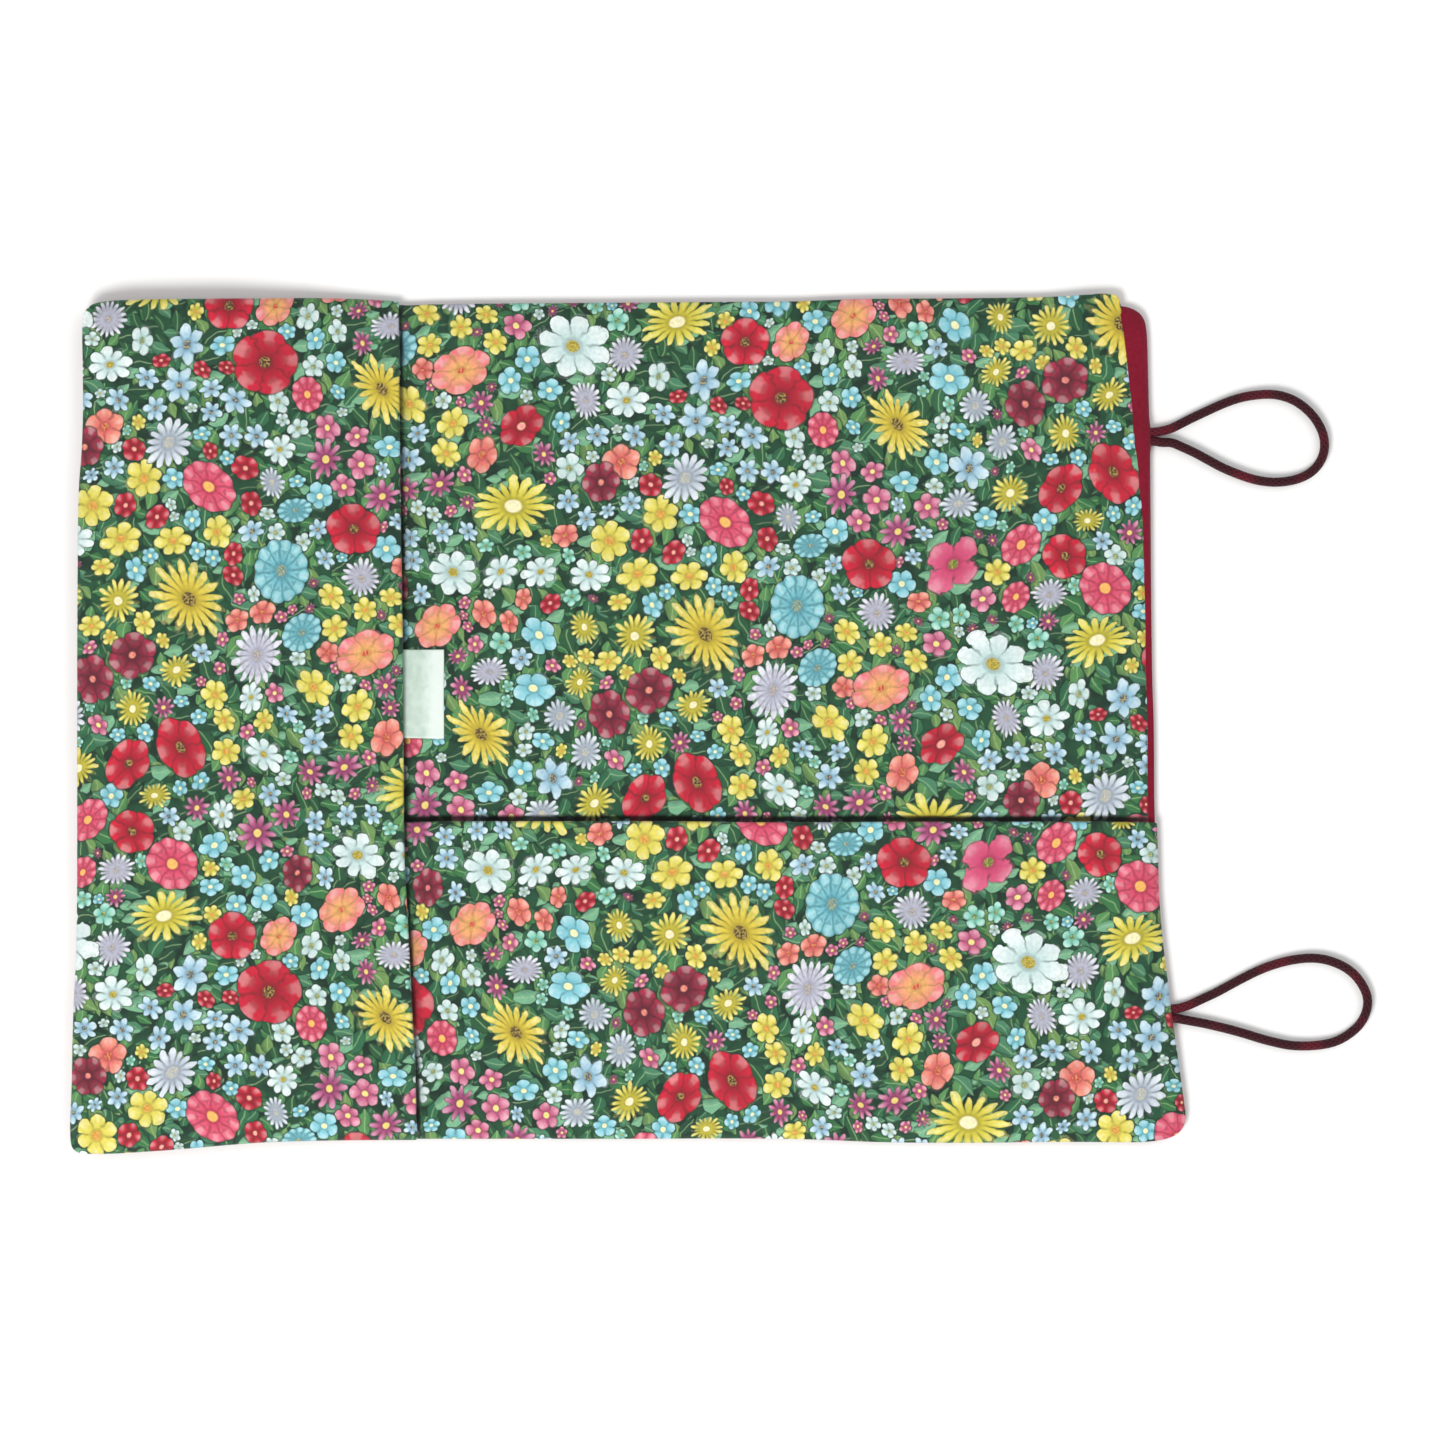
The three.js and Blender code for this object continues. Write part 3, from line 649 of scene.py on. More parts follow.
def thread_material():
    g = Net("thread")
    u, w, _ = g.xyz(g.uv("Print"))
    ply = g.m("SINE", g.add(g.mul(u, 2 * math.pi * 2), g.mul(w, 2 * math.pi / 0.06)))
    grain = g.noise(g.join(u, w), 40.0, 2.0)
    col = g.mix(g.step(ply, -0.4, 0.6), srgb(96, 10, 30), srgb(150, 24, 56))
    return g.finish(g.mix(g.mul(grain, 0.4), col, srgb(60, 6, 20)), g.lerp(grain, 0.3, 0.7, 0.6, 0.8),
                    g.bump(ply, 0.6, 0.00005))


def wadding_material():
    g = Net("wadding")
    raw = g.uv("Print")
    fibre = g.noise(raw, 9.0, 5.0, 0.7)
    tuft = g.noise(raw, 1.2, 3.0)
    return g.finish(g.mix(fibre, srgb(222, 216, 202), srgb(246, 243, 234)), g.lerp(tuft, 0.3, 0.7, 0.9, 1.0),
                    g.bump(g.add(fibre, tuft), 0.6, 0.0004))


PRINT, RED, SATIN = print_material(), red_material(), satin_material()
ELASTIC, BUTTON, THREAD, WADDING = elastic_material(), button_material(), thread_material(), wadding_material()


# ------------------------------------------------------------------ mesh helpers
def mesh_object(name, points, faces, material, uv=None, corner_uv=None, blooms=False, smooth_faces=True):
    """points in mm. uv is one (u, v) for each point, corner_uv one for each corner of each face."""
    me = bpy.data.meshes.new(name)
    me.from_pydata((np.asarray(points, float) * MM).tolist(), [], [tuple(int(i) for i in f) for f in faces])
    if uv is not None or corner_uv is not None:
        layer = me.uv_layers.new(name="Print")
        if corner_uv is None:
            loops = np.zeros(len(me.loops), np.int32)
            me.loops.foreach_get("vertex_index", loops)
            corner_uv = np.asarray(uv, np.float32)[loops]
        layer.uv.foreach_set("vector", np.asarray(corner_uv, np.float32).ravel())
    me.polygons.foreach_set("use_smooth", [smooth_faces] * len(me.polygons))
    me.materials.append(material)
    if blooms:
        plant(me)
    ob = bpy.data.objects.new(name, me)
    scene.collection.objects.link(ob)
    return ob


def grid_faces(nu, nv):
    i, j = np.meshgrid(np.arange(nu - 1), np.arange(nv - 1), indexing="ij")
    a = (i * nv + j).ravel()
    return np.stack([a, a + nv, a + nv + 1, a + 1], 1)


def grid_normals(P):
    n = np.cross(np.gradient(P, axis=0), np.gradient(P, axis=1))
    return n / np.maximum(np.linalg.norm(n, axis=2, keepdims=True), 1e-9)


def cloth(name, P, UV, thick, material, side=0.5, blooms=False):
    """A closed sheet of cloth of that thickness on a grid of points. side is the share of it above the grid."""
    nu, nv = P.shape[:2]
    N = grid_normals(P)
    up, down = P + N * thick * side, P - N * thick * (1 - side)
    ring = [(i, 0) for i in range(nu)] + [(nu - 1, j) for j in range(1, nv)] + \
           [(i, nv - 1) for i in range(nu - 2, -1, -1)] + [(0, j) for j in range(nv - 2, 0, -1)]
    ring = np.array(ring)
    rp, ru = P[ring[:, 0], ring[:, 1]], UV[ring[:, 0], ring[:, 1]]
    t = np.roll(rp, -1, 0) - np.roll(rp, 1, 0)
    out = np.cross(t, N[ring[:, 0], ring[:, 1]])
    out /= np.maximum(np.linalg.norm(out, axis=1, keepdims=True), 1e-9)
    mid = rp + N[ring[:, 0], ring[:, 1]] * thick * (side - 0.5) + out * thick * 0.42
    n = nu * nv
    top_i = ring[:, 0] * nv + ring[:, 1]
    low_i, mid_i = top_i + n, 2 * n + np.arange(len(ring))
    nxt = np.roll(np.arange(len(ring)), -1)
    f = grid_faces(nu, nv)
    rim = np.concatenate([np.stack([top_i, mid_i, mid_i[nxt], top_i[nxt]], 1),
                          np.stack([mid_i, low_i, low_i[nxt], mid_i[nxt]], 1)])
    faces = np.concatenate([f, f[:, ::-1] + n, rim])
    pts = np.concatenate([up.reshape(-1, 3), down.reshape(-1, 3), mid])
    uv = np.concatenate([UV.reshape(-1, 2), UV.reshape(-1, 2), ru])
    return mesh_object(name, pts, faces, material, uv, blooms=blooms)


def chaikin(poly, times=2):
    p = np.asarray(poly, float)
    for _ in range(times):
        q = np.roll(p, -1, axis=0)
        p = np.stack([0.75 * p + 0.25 * q, 0.25 * p + 0.75 * q], 1).reshape(-1, 2)
    return p


class Side:
    """One side of an outline, as a curve from 0 to 1 along its length."""

    def __init__(self, pts):
        self.pts = np.asarray(pts, float)
        s = np.r_[0, np.cumsum(np.linalg.norm(np.diff(self.pts, axis=0), axis=1))]
        self.length, self.s = s[-1], s / s[-1]

    def at(self, t):
        return np.stack([np.interp(t, self.s, self.pts[:, k]) for k in (0, 1)], -1)

    def until(self, axis, value):
        """The part before the coordinate reaches that value."""
        k = int(np.argmax(self.pts[:, axis] > value))
        f = (value - self.pts[k - 1, axis]) / (self.pts[k, axis] - self.pts[k - 1, axis])
        return Side(np.vstack([self.pts[:k], self.pts[k - 1] + f * (self.pts[k] - self.pts[k - 1])]))


def sides(poly, corners):
    """Bottom and top from left to right, left and right from bottom to top; corners are BL, BR, TR, TL."""
    p = chaikin(poly)
    at = [int(np.argmin(((p - c) ** 2).sum(1))) for c in np.asarray(corners, float)]

    def run(a, b):
        n = (at[b] - at[a]) % len(p)
        return p[(at[a] + np.arange(n + 1)) % len(p)]

    return Side(run(0, 1)), Side(run(1, 2)), Side(run(2, 3)[::-1]), Side(run(3, 0)[::-1])


EDGE = [0, 0.05, 0.14, 0.28, 0.48, 0.75, 1.1, 1.55, 2.2, 3.1, 4.3, 5.7, 7.2]


def steps(length, step, ends=(True, True), fine=()):
    """Places 0-1 along a length in mm: close together at the ends, and round each (middle, half width, step) of fine."""
    a = list(EDGE) if ends[0] else [0.0]
    b = list(length - np.array(EDGE)[::-1]) if ends[1] else [length]
    x, out = a[-1], a[:-1]
    stops = []
    while x < b[0] - 1e-6:
        out.append(x)
        s = step
        for m, half, small in fine:
            if abs(x + small - m) < half:
                s = small
            elif x < m and x + s > m - half:
                s = max(small, m - half - x)
        x += s
    if b[0] - out[-1] < 0.5 * step and len(out) > len(a):
        out.pop()
    return np.array(out + b) / length


def coons(b, r, t, l, u, v):
    """Points inside four sides. b and t have one point for each u, l and r one for each v."""
    U, V = u[:, None, None], v[None, :, None]
    P = (1 - V) * b[:, None] + V * t[:, None] + (1 - U) * l[None] + U * r[None]
    return P - ((1 - U) * (1 - V) * l[0] + U * (1 - V) * r[0] + (1 - U) * V * l[-1] + U * V * r[-1])


def round_edge(dx, dy, radius):
    """How far down, 0-1, a rounded edge is at distances dx and dy (mm) from the sides."""
    ex, ey = np.clip(1 - dx / radius, 0, 1), np.clip(1 - dy / radius, 0, 1)
    e = np.minimum(1.0, np.sqrt(ex ** 2 + ey ** 2))
    return 1 - np.sqrt(1 - e ** 2)


def settle(x, y):
    """The gentle, uneven lie that all the layers share, mm."""
    return 0.17 * waves(x, y, 3, 55, 130) + 0.07 * waves(x, y, 5, 22, 50)


def strip_share(x, y):
    """1 where the cover rolls up beside the lining, at the upper right, and 0 elsewhere."""
    cover = np.interp(y, [-30, 1.8, 30.6, 50.6, 68, 93, 101], [131.6, 131.2, 130.6, 130.5, 130.3, 129.7, 128.9])
    lining = np.interp(y, [-30, 1.8, 30.6, 53, 75.6, 94.3, 105], [131.6, 130.2, 129.6, 128.3, 126.1, 124.1, 122.6])
    return smooth((cover - lining - 0.6) / 1.8) * smooth((x - 100) / 15)


def exit_bump(x, y):
    """The cloth swells a little over the ends of each loop."""
    out = 0
    for ex, ey in EXITS.values():
        out = out + np.exp(-((y - ey) / 3.0) ** 2) * smooth((x - ex + 9) / 8)
    return out


def lip_x(y):
    """Where the lip of the left pocket ends."""
    return np.interp(y, LEFT_MOUTH[::-1, 1], LEFT_MOUTH[::-1, 0])


def groove(d, depth):
    """A dip just outside a lip and, more gently, below it; d is the distance outward from the lip."""
    return depth * np.where(d > 0.7, np.exp(-((d - 0.7) / 0.75) ** 2), np.exp(-((d - 0.7) / 2.6) ** 2))


def left_dip(x, y, depth):
    return groove(x - lip_x(y), depth) * smooth((104 - y) / 9) * smooth((y + 103.5) / 9)


def lining_dip(x, y):
    """The lining is pulled down along both pocket mouths, where it is sewn through."""
    low = groove(y - MOUTH_Y, 1.30) * smooth((x + 64) / 8) * smooth((129 - x) / 9)
    label = np.exp(-((y - 7.1) / 9.0) ** 6)
    side = left_dip(x, y, 1.05) * (1 - 0.5 * smooth((MOUTH_Y - y) / 3)) * (1 - 0.6 * label)
    return np.maximum(low, side)


def shade_creases(ob, both=True):
    """Marks the cloth that runs down into a pocket mouth with a mask of painted shadow."""
    me = ob.data
    co = np.zeros(len(me.vertices) * 3)
    me.vertices.foreach_get("co", co)
    x, y, _ = (co.reshape(-1, 3) * 1000).T
    d = y - MOUTH_Y
    low = smooth((d + 0.4) / 0.35) * (1 - smooth((d - 0.9) / 0.9)) * smooth((x + 60) / 2) * smooth((132.5 - x) / 3)
    low *= 0.93 + 0.09 * waves(x, 0 * x, 131, 9, 30)
    d = x - lip_x(y)
    side = smooth((d + 0.3) / 0.35) * (1 - smooth((d - 0.45) / 0.7)) * (0.86 + 0.16 * waves(0 * y, y, 133, 9, 30))
    side = np.maximum(side, 0.26 * smooth((d + 0.5) / 0.4) * np.exp(-(d / 2.3) ** 2)) * smooth((105.5 - y) / 3) * smooth((y + 105) / 3)
    low = low * both
    # how strongly painted shadow darkens the print here, 0-1
    at = me.attributes.new("MouthShadow", "FLOAT", "POINT")
    at.data.foreach_set("value", np.clip(np.maximum(low, side), 0, 1).astype(np.float32))


def gathers(d, x, y, seed):
    """Small puckers beside a seam, d mm away from it."""
    return 0.10 * np.exp(-((d - 3.2) / 3.0) ** 2) * waves(x, y, seed, 7, 16, 12)


def surface(P, u, v, b, r, t, l, mid, edge, radius, seed, slope=1.0):
    """Heights over the grid P: mid height away from the sides, edge height at them."""
    x, y = P[..., 0], P[..., 1]
    dl = np.maximum(x - l[None, :, 0], 0)
    dr = np.maximum(r[None, :, 0] - x, 0)
    db = np.maximum(y - b[:, None, 1], 0)
    dt = np.maximum(t[:, None, 1] - y, 0)
    dx, dy = np.minimum(dl, dr), np.minimum(db, dt)
    drop = round_edge(dx, dy, radius)
    d = np.minimum(dx, dy)
    puff = 0.22 * smooth(d / 22)
    top = mid + settle(x, y) + puff + gathers(d, x, y, seed)
    low = edge + 0.3 * settle(x, y)
    return top * (1 - drop) + low * drop


# ------------------------------------------------------------------ outer cover
def frame_of(poly, corners, step, fine=(), v_fine=()):
    b, r, t, l = sides(poly, corners)
    u = steps((b.length + t.length) / 2, step, fine=fine)
    v = steps((l.length + r.length) / 2, step, fine=v_fine)
    return b.at(u), r.at(v), t.at(u), l.at(v), u, v


FOLD_AT = (FOLD_X + 138.5, 6.5, 0.65)


def shift_out(line, amount):
    """Moves points of a closed or open line outward, away from the middle of the wallet."""
    n = np.gradient(line, axis=0)
    n = np.stack([n[:, 1], -n[:, 0]], 1)
    n /= np.maximum(np.linalg.norm(n, axis=1, keepdims=True), 1e-9)
    n[(n * line).sum(1) < 0] *= -1
    return line + n * (amount[:, None] if hasattr(amount, "__len__") else amount)


def make_cover():
    b, r, t, l, u, v = frame_of(COVER, CORNERS_C, 3.2, fine=[FOLD_AT])
    nu, nv = len(u), len(v)
    ring = [(i, 0) for i in range(nu)] + [(nu - 1, j) for j in range(1, nv)] + \
           [(i, nv - 1) for i in range(nu - 2, -1, -1)] + [(0, j) for j in range(nv - 2, 0, -1)]
    ring = np.array(ring)
    edge_of = {(i, 0): b[i] for i in range(nu)} | {(i, nv - 1): t[i] for i in range(nu)}
    edge_of |= {(0, j): l[j] for j in range(1, nv - 1)} | {(nu - 1, j): r[j] for j in range(1, nv - 1)}
    E = np.array([edge_of[tuple(k)] for k in ring])
    tan = np.roll(E, -1, 0) - np.roll(E, 1, 0)
    for _ in range(6):
        tan = (np.roll(tan, 1, 0) + tan + np.roll(tan, -1, 0)) / 3
    out = np.stack([tan[:, 1], -tan[:, 0]], 1)
    out /= np.linalg.norm(out, axis=1, keepdims=True)
    x, y = E[:, 0], E[:, 1]
    on_right = smooth((x - 121) / 4)
    strip = strip_share(x, y) + smooth((y - 98) / 4) * smooth((x - 108) / 12) * (1 - strip_share(x, y))
    bulge = exit_bump(x, y)
    E = E + out * (-0.45 * (1 - on_right) + 0.35 * bulge)[:, None]
    base = lift(x) + 0.3 * settle(x, y)
    # profile of the side: out from under, up round the edge, and over the top where the strip shows
    prof = [(2.6, 0.06), (1.7, 0.16), (1.0, 0.38), (0.45, 0.72), (0.12, 1.12), (0.0, 1.5), (0.06, 1.85)]
    rows = []
    for d, z in prof:
        rows.append(np.column_stack([E - out * d, base + z + 0.5 * bulge * smooth((z - 0.6) / 1.0)]))
    width = np.interp(y, [-30, 1.8, 30.6, 53, 75.6, 94.3, 101, 108], [0.2, 1.0, 1.1, 2.2, 4.1, 5.5, 6.4, 6.4]) \
        * smooth((x - 112) / 14)
    for k, (f, z) in enumerate([(0.05, 2.2), (0.16, 2.62), (0.35, 2.92), (0.6, 3.02), (0.85, 2.98), (1.1, 2.86)]):
        d = 0.1 + f * np.maximum(width, 0.3) + 0.5 * max(0, f - 0.8) * strip + (0.35 + 0.12 * k) * (1 - strip)
        zz = z * strip + (1.92 + 0.04 * k) * (1 - strip)
        rows.append(np.column_stack([E - out * d[:, None], base + zz + 0.55 * bulge + 0.05 * waves(x, y, 31, 6, 14)]))
    tail = 1.3
    rows.append(np.column_stack([E - out * (0.1 + 1.1 * np.maximum(width, 0.3) + tail)[:, None],
                                 base + 2.55 * strip + 2.0 * (1 - strip)]))
    rows = np.array(rows)                                   # [k, ring, 3]
    # the cloth draws round the corner of the strip without a pleat
    gap = np.linalg.norm(np.roll(E, -1, 0) - E, axis=1)
    along = np.concatenate([[0], np.cumsum(gap)[:-1]])
    apart = np.abs(along[:, None] - along[None])
    apart = np.minimum(apart, gap.sum() - apart)
    corner = smooth((19 - np.hypot(x - 125.5, y - 100.5)) / 8)[:, None]
    for k, reach in zip(range(6, len(rows)), (0.5, 0.7, 1.2, 2.1, 3.3, 4.5, 5.6, 6.6)):
        near = np.exp(-(apart / reach) ** 2 / 2) * (0.5 * (gap + np.roll(gap, 1)))[None]
        rows[k] = rows[k] + corner * (near @ rows[k] / near.sum(1, keepdims=True) - rows[k])
    inner = rows[0]
    at = {tuple(k): i for i, k in enumerate(map(tuple, ring))}
    bb = np.array([inner[at[(i, 0)], :2] for i in range(nu)])
    tt = np.array([inner[at[(i, nv - 1)], :2] for i in range(nu)])
    ll = np.array([inner[at[(0, j)], :2] for j in range(nv)])
    rr = np.array([inner[at[(nu - 1, j)], :2] for j in range(nv)])
    P = coons(bb, rr, tt, ll, u, v)
    px, py = P[..., 0], P[..., 1]
    d = np.minimum(np.minimum(px - ll[None, :, 0], rr[None, :, 0] - px), np.minimum(py - bb[:, None, 1], tt[:, None, 1] - py))
    sag = 0.16 * (1 + waves(px, py, 41, 30, 80)) * smooth(d / 8)
    near_button = sum(np.exp(-(((px - bx) ** 2 + (py - by) ** 2) / 9.0 ** 2)) for bx, by in BUTTONS.values())
    Z = lift(px) + 0.06 + sag * (1 - 0.0) + 0.12 * gathers(d, px, py, 43) + 0.15 * near_button
    G = np.dstack([P, Z])
    # one mesh: the bottom grid, then the rings from its edge outwards and up; the cloth's inside follows at CLOTH
    nb = nu * nv
    pts, faces = [G.reshape(-1, 3)], [grid_faces(nu, nv)[:, ::-1]]
    edge_i = ring[:, 0] * nv + ring[:, 1]
    G.reshape(-1, 3)[edge_i] = rows[0]
    prev, m, nxt = edge_i, len(ring), np.roll(np.arange(len(ring)), -1)
    count = nb
    for k in range(1, len(rows)):
        pts.append(rows[k])
        cur = count + np.arange(m)
        faces.append(np.stack([prev, prev[nxt], cur[nxt], cur], 1))
        prev, count = cur, count + m
    pts, faces = np.concatenate(pts), np.concatenate(faces)
    uv = pts[:, :2] / 10 * [1, 1]
    arc = np.cumsum(np.linalg.norm(np.diff(rows, axis=0), axis=2), axis=0)
    ruv = rows[0][None, :, :2] / 10 + out[None] * arc[..., None] / 10
    uv[nb:] = ruv.reshape(-1, 2)
    # inner face of the cloth, so that it is a closed sheet
    ob = mesh_object("outer_cover", pts, faces, RED, uv)
    mod = ob.modifiers.new("thick", "SOLIDIFY")
    mod.thickness, mod.offset, mod.use_even_offset = CLOTH * MM, -1, False
    deps = bpy.context.evaluated_depsgraph_get()
    me = bpy.data.meshes.new_from_object(ob.evaluated_get(deps))
    ob.modifiers.clear()
    ob.data = me
    co = np.zeros(len(me.vertices) * 3)
    me.vertices.foreach_get("co", co)
    co[2::3] = np.maximum(co[2::3], 0.00002)                # it rests on the table
    me.vertices.foreach_set("co", co)
    me.update()
    return ob


cover = make_cover()


# ------------------------------------------------------------------ wadding
def make_wadding():
    b, r, t, l, u, v = frame_of(LINING, CORNERS_L, 5.0, fine=[(-55.5 + 138.5, 6.5, 0.9), (FOLD_X + 138.5, 7, 1.2)],
                                v_fine=[(MOUTH_Y + 105.5, 4.5, 0.8)])
    b, r, t, l = (q * [1 - 3.6 / 138.8, 1 - 3.6 / 107] for q in (b, r, t, l))
    P = coons(b, r, t, l, u, v)
    x, y = P[..., 0], P[..., 1]
    top = surface(P, u, v, b, r, t, l, 2.72, 1.45, 7, 51) + lift(x) - 0.22 - lining_dip(x, y)
    top = top - 0.25 * left_dip(x, y, 1.0) * smooth((MOUTH_Y - y) / 3)
    top = np.maximum(top, lift(x) + 0.95)
    low = lift(x) + 0.78 + 0.10 * waves(x, y, 41, 30, 80)
    d = np.minimum(np.minimum(x - l[None, :, 0], r[None, :, 0] - x), np.minimum(y - b[:, None, 1], t[:, None, 1] - y))
    low = low + 0.5 * (1 - smooth(d / 3))
    nu, nv = len(u), len(v)
    n = nu * nv
    T, L = np.dstack([P, top + 0.05 * waves(x, y, 53, 4, 9)]), np.dstack([P, np.minimum(low, top - 0.3)])
    ring = [(i, 0) for i in range(nu)] + [(nu - 1, j) for j in range(1, nv)] + \
           [(i, nv - 1) for i in range(nu - 2, -1, -1)] + [(0, j) for j in range(nv - 2, 0, -1)]
    ring = np.array(ring)
    ti = ring[:, 0] * nv + ring[:, 1]
    nx = np.roll(np.arange(len(ring)), -1)
    f = grid_faces(nu, nv)
    faces = np.concatenate([f, f[:, ::-1] + n, np.stack([ti, ti + n, (ti + n)[nx], ti[nx]], 1)])
    pts = np.concatenate([T.reshape(-1, 3), L.reshape(-1, 3)])
    return mesh_object("wadding", pts, faces, WADDING, pts[:, :2] / 10)


wadding = make_wadding()


# ------------------------------------------------------------------ lining
def make_lining():
    b, r, t, l, u, v = frame_of(LINING, CORNERS_L, 1.75, fine=[(-55.0 + 138.5, 5.5, 0.55), FOLD_AT],
                                v_fine=[(MOUTH_Y + 106.0, 3.6, 0.42)])
    right = smooth((r[:, 0] - 115) / 6) * (1 - strip_share(r[:, 0], r[:, 1]))
    r = r - np.stack([0.55 * right, 0 * right], 1)
    P = coons(b, r, t, l, u, v)
    x, y = P[..., 0], P[..., 1]
    share = strip_share(x, y)
    edge = Z_SEAM + 0.05 + 1.05 * share
    z = surface(P, u, v, b, r, t, l, Z_LINING, edge, 6.5, 61) + lift(x)
    z = z + 0.45 * exit_bump(x, y) * (1 - smooth((r[None, :, 0] - x) / 6))
    z = z - 0.06 * smooth((MOUTH_Y - 4 - y) / 6) - lining_dip(x, y)
    return cloth("lining", np.dstack([P, z]), P / 10, CLOTH, PRINT, side=0.0, blooms=True)


lining = make_lining()
shade_creases(lining)


# ------------------------------------------------------------------ pockets: one cloth folded at the mouth
LIP = np.linspace(0, np.pi, 7)[1:-1]


def folded(front, back, mouth_out, gape_front, gape_back):
    """Joins front rows, a round lip and the rows behind into one grid. front ends and back starts at the mouth."""
    a, c = front[:, -1], back[:, 0]
    mid, half = (a + c) / 2, (a - c) / 2
    rad = np.linalg.norm(half, axis=1, keepdims=True)
    lips = [mid + half * math.cos(q) + mouth_out * rad * 0.8 * math.sin(q) for q in LIP]
    return np.concatenate([front, np.stack(lips, 1), back], axis=1)


def make_lower_pocket():
    b, r, t, l = sides(COVER, CORNERS_C)
    wave = 0.10
    mouth = MOUTH_Y - 0.73
    l, r = l.until(1, mouth), r.until(1, mouth)
    u = steps(b.length, 1.75, fine=[(-55.0 + 138.5, 5.5, 0.6), FOLD_AT])
    v = steps(l.length, 1.75, ends=(True, False), fine=[(l.length, 7, 0.7)])
    B, L, R = b.at(u), l.at(v), r.at(v)
    T = np.stack([L[-1, 0] + (R[-1, 0] - L[-1, 0]) * u, np.full(len(u), mouth)], 1)
    T[:, 1] += wave * waves(T[:, 0], 0 * T[:, 0], 71, 50, 140) * np.sin(np.pi * u)

    def layer(dist, mid, edge, lifted, seed, vv):
        Bb, Ll, Rr = shift_out(B, dist), shift_out(l.at(vv), dist), shift_out(r.at(vv), dist)
        Ll[-1, 1], Rr[-1, 1] = T[0, 1], T[-1, 1]
        Tt = T.copy()
        Tt[:, 0] = Ll[-1, 0] + (Rr[-1, 0] - Ll[-1, 0]) * u
        P = coons(Bb, Rr, Tt, Ll, u, vv)
        x, y = P[..., 0], P[..., 1]
        far = np.full_like(Tt, 1e3)                      # the mouth isn't sewn down
        z = surface(P, u, vv, Bb, Rr, far, Ll, mid, edge, 6.5, seed)
        dm = Tt[:, None, 1] - y
        side = np.minimum(x - Ll[None, :, 0], Rr[None, :, 0] - x)
        z = z + lifted * np.exp(-(dm / 4.5) ** 2) * smooth(side / 18)
        return np.dstack([P, z + lift(x) - left_dip(x, y, 0.60) * smooth((MOUTH_Y - 1 - y) / 4)])

    uneven = 1 + 0.22 * waves(T[:, 0], 0 * T[:, 0], 73, 40, 110)[:, None]
    covered = (0.08 + 0.92 * smooth((T[:, 0] + 57) / 12))[:, None]     # held down below the left pocket
    front = layer(0.30, Z_FRONT, 1.95, 1.05 * uneven * covered, 75, v)
    vb = v[::-1]
    back = layer(-0.10, Z_FACING, 1.90, 0.50 * uneven * covered, 61, v)[:, ::-1]
    out = np.tile([0.0, 1.0, 0.0], (len(u), 1))
    G = folded(front, back, out, 0, 0)
    nf, nl = front.shape[1], len(LIP)
    UV = np.zeros((*G.shape[:2], 2))
    UV[..., 0] = (G[..., 0] - 8.75) / 10
    s = np.concatenate([np.zeros((G.shape[0], 1)), np.cumsum(np.linalg.norm(np.diff(G[:, nf - 1:], axis=1), axis=2), axis=1)], 1)
    UV[:, :nf, 1] = (G[:, :nf, 1] + 74.5) / 10
    UV[:, nf:, 1] = UV[:, nf - 1:nf, 1] + s[:, 1:] / 10
    return cloth("lower_pocket", G, UV, CLOTH, PRINT, blooms=True)


def climb(y):
    return CLIMB * smooth((-12 - y) / 10)


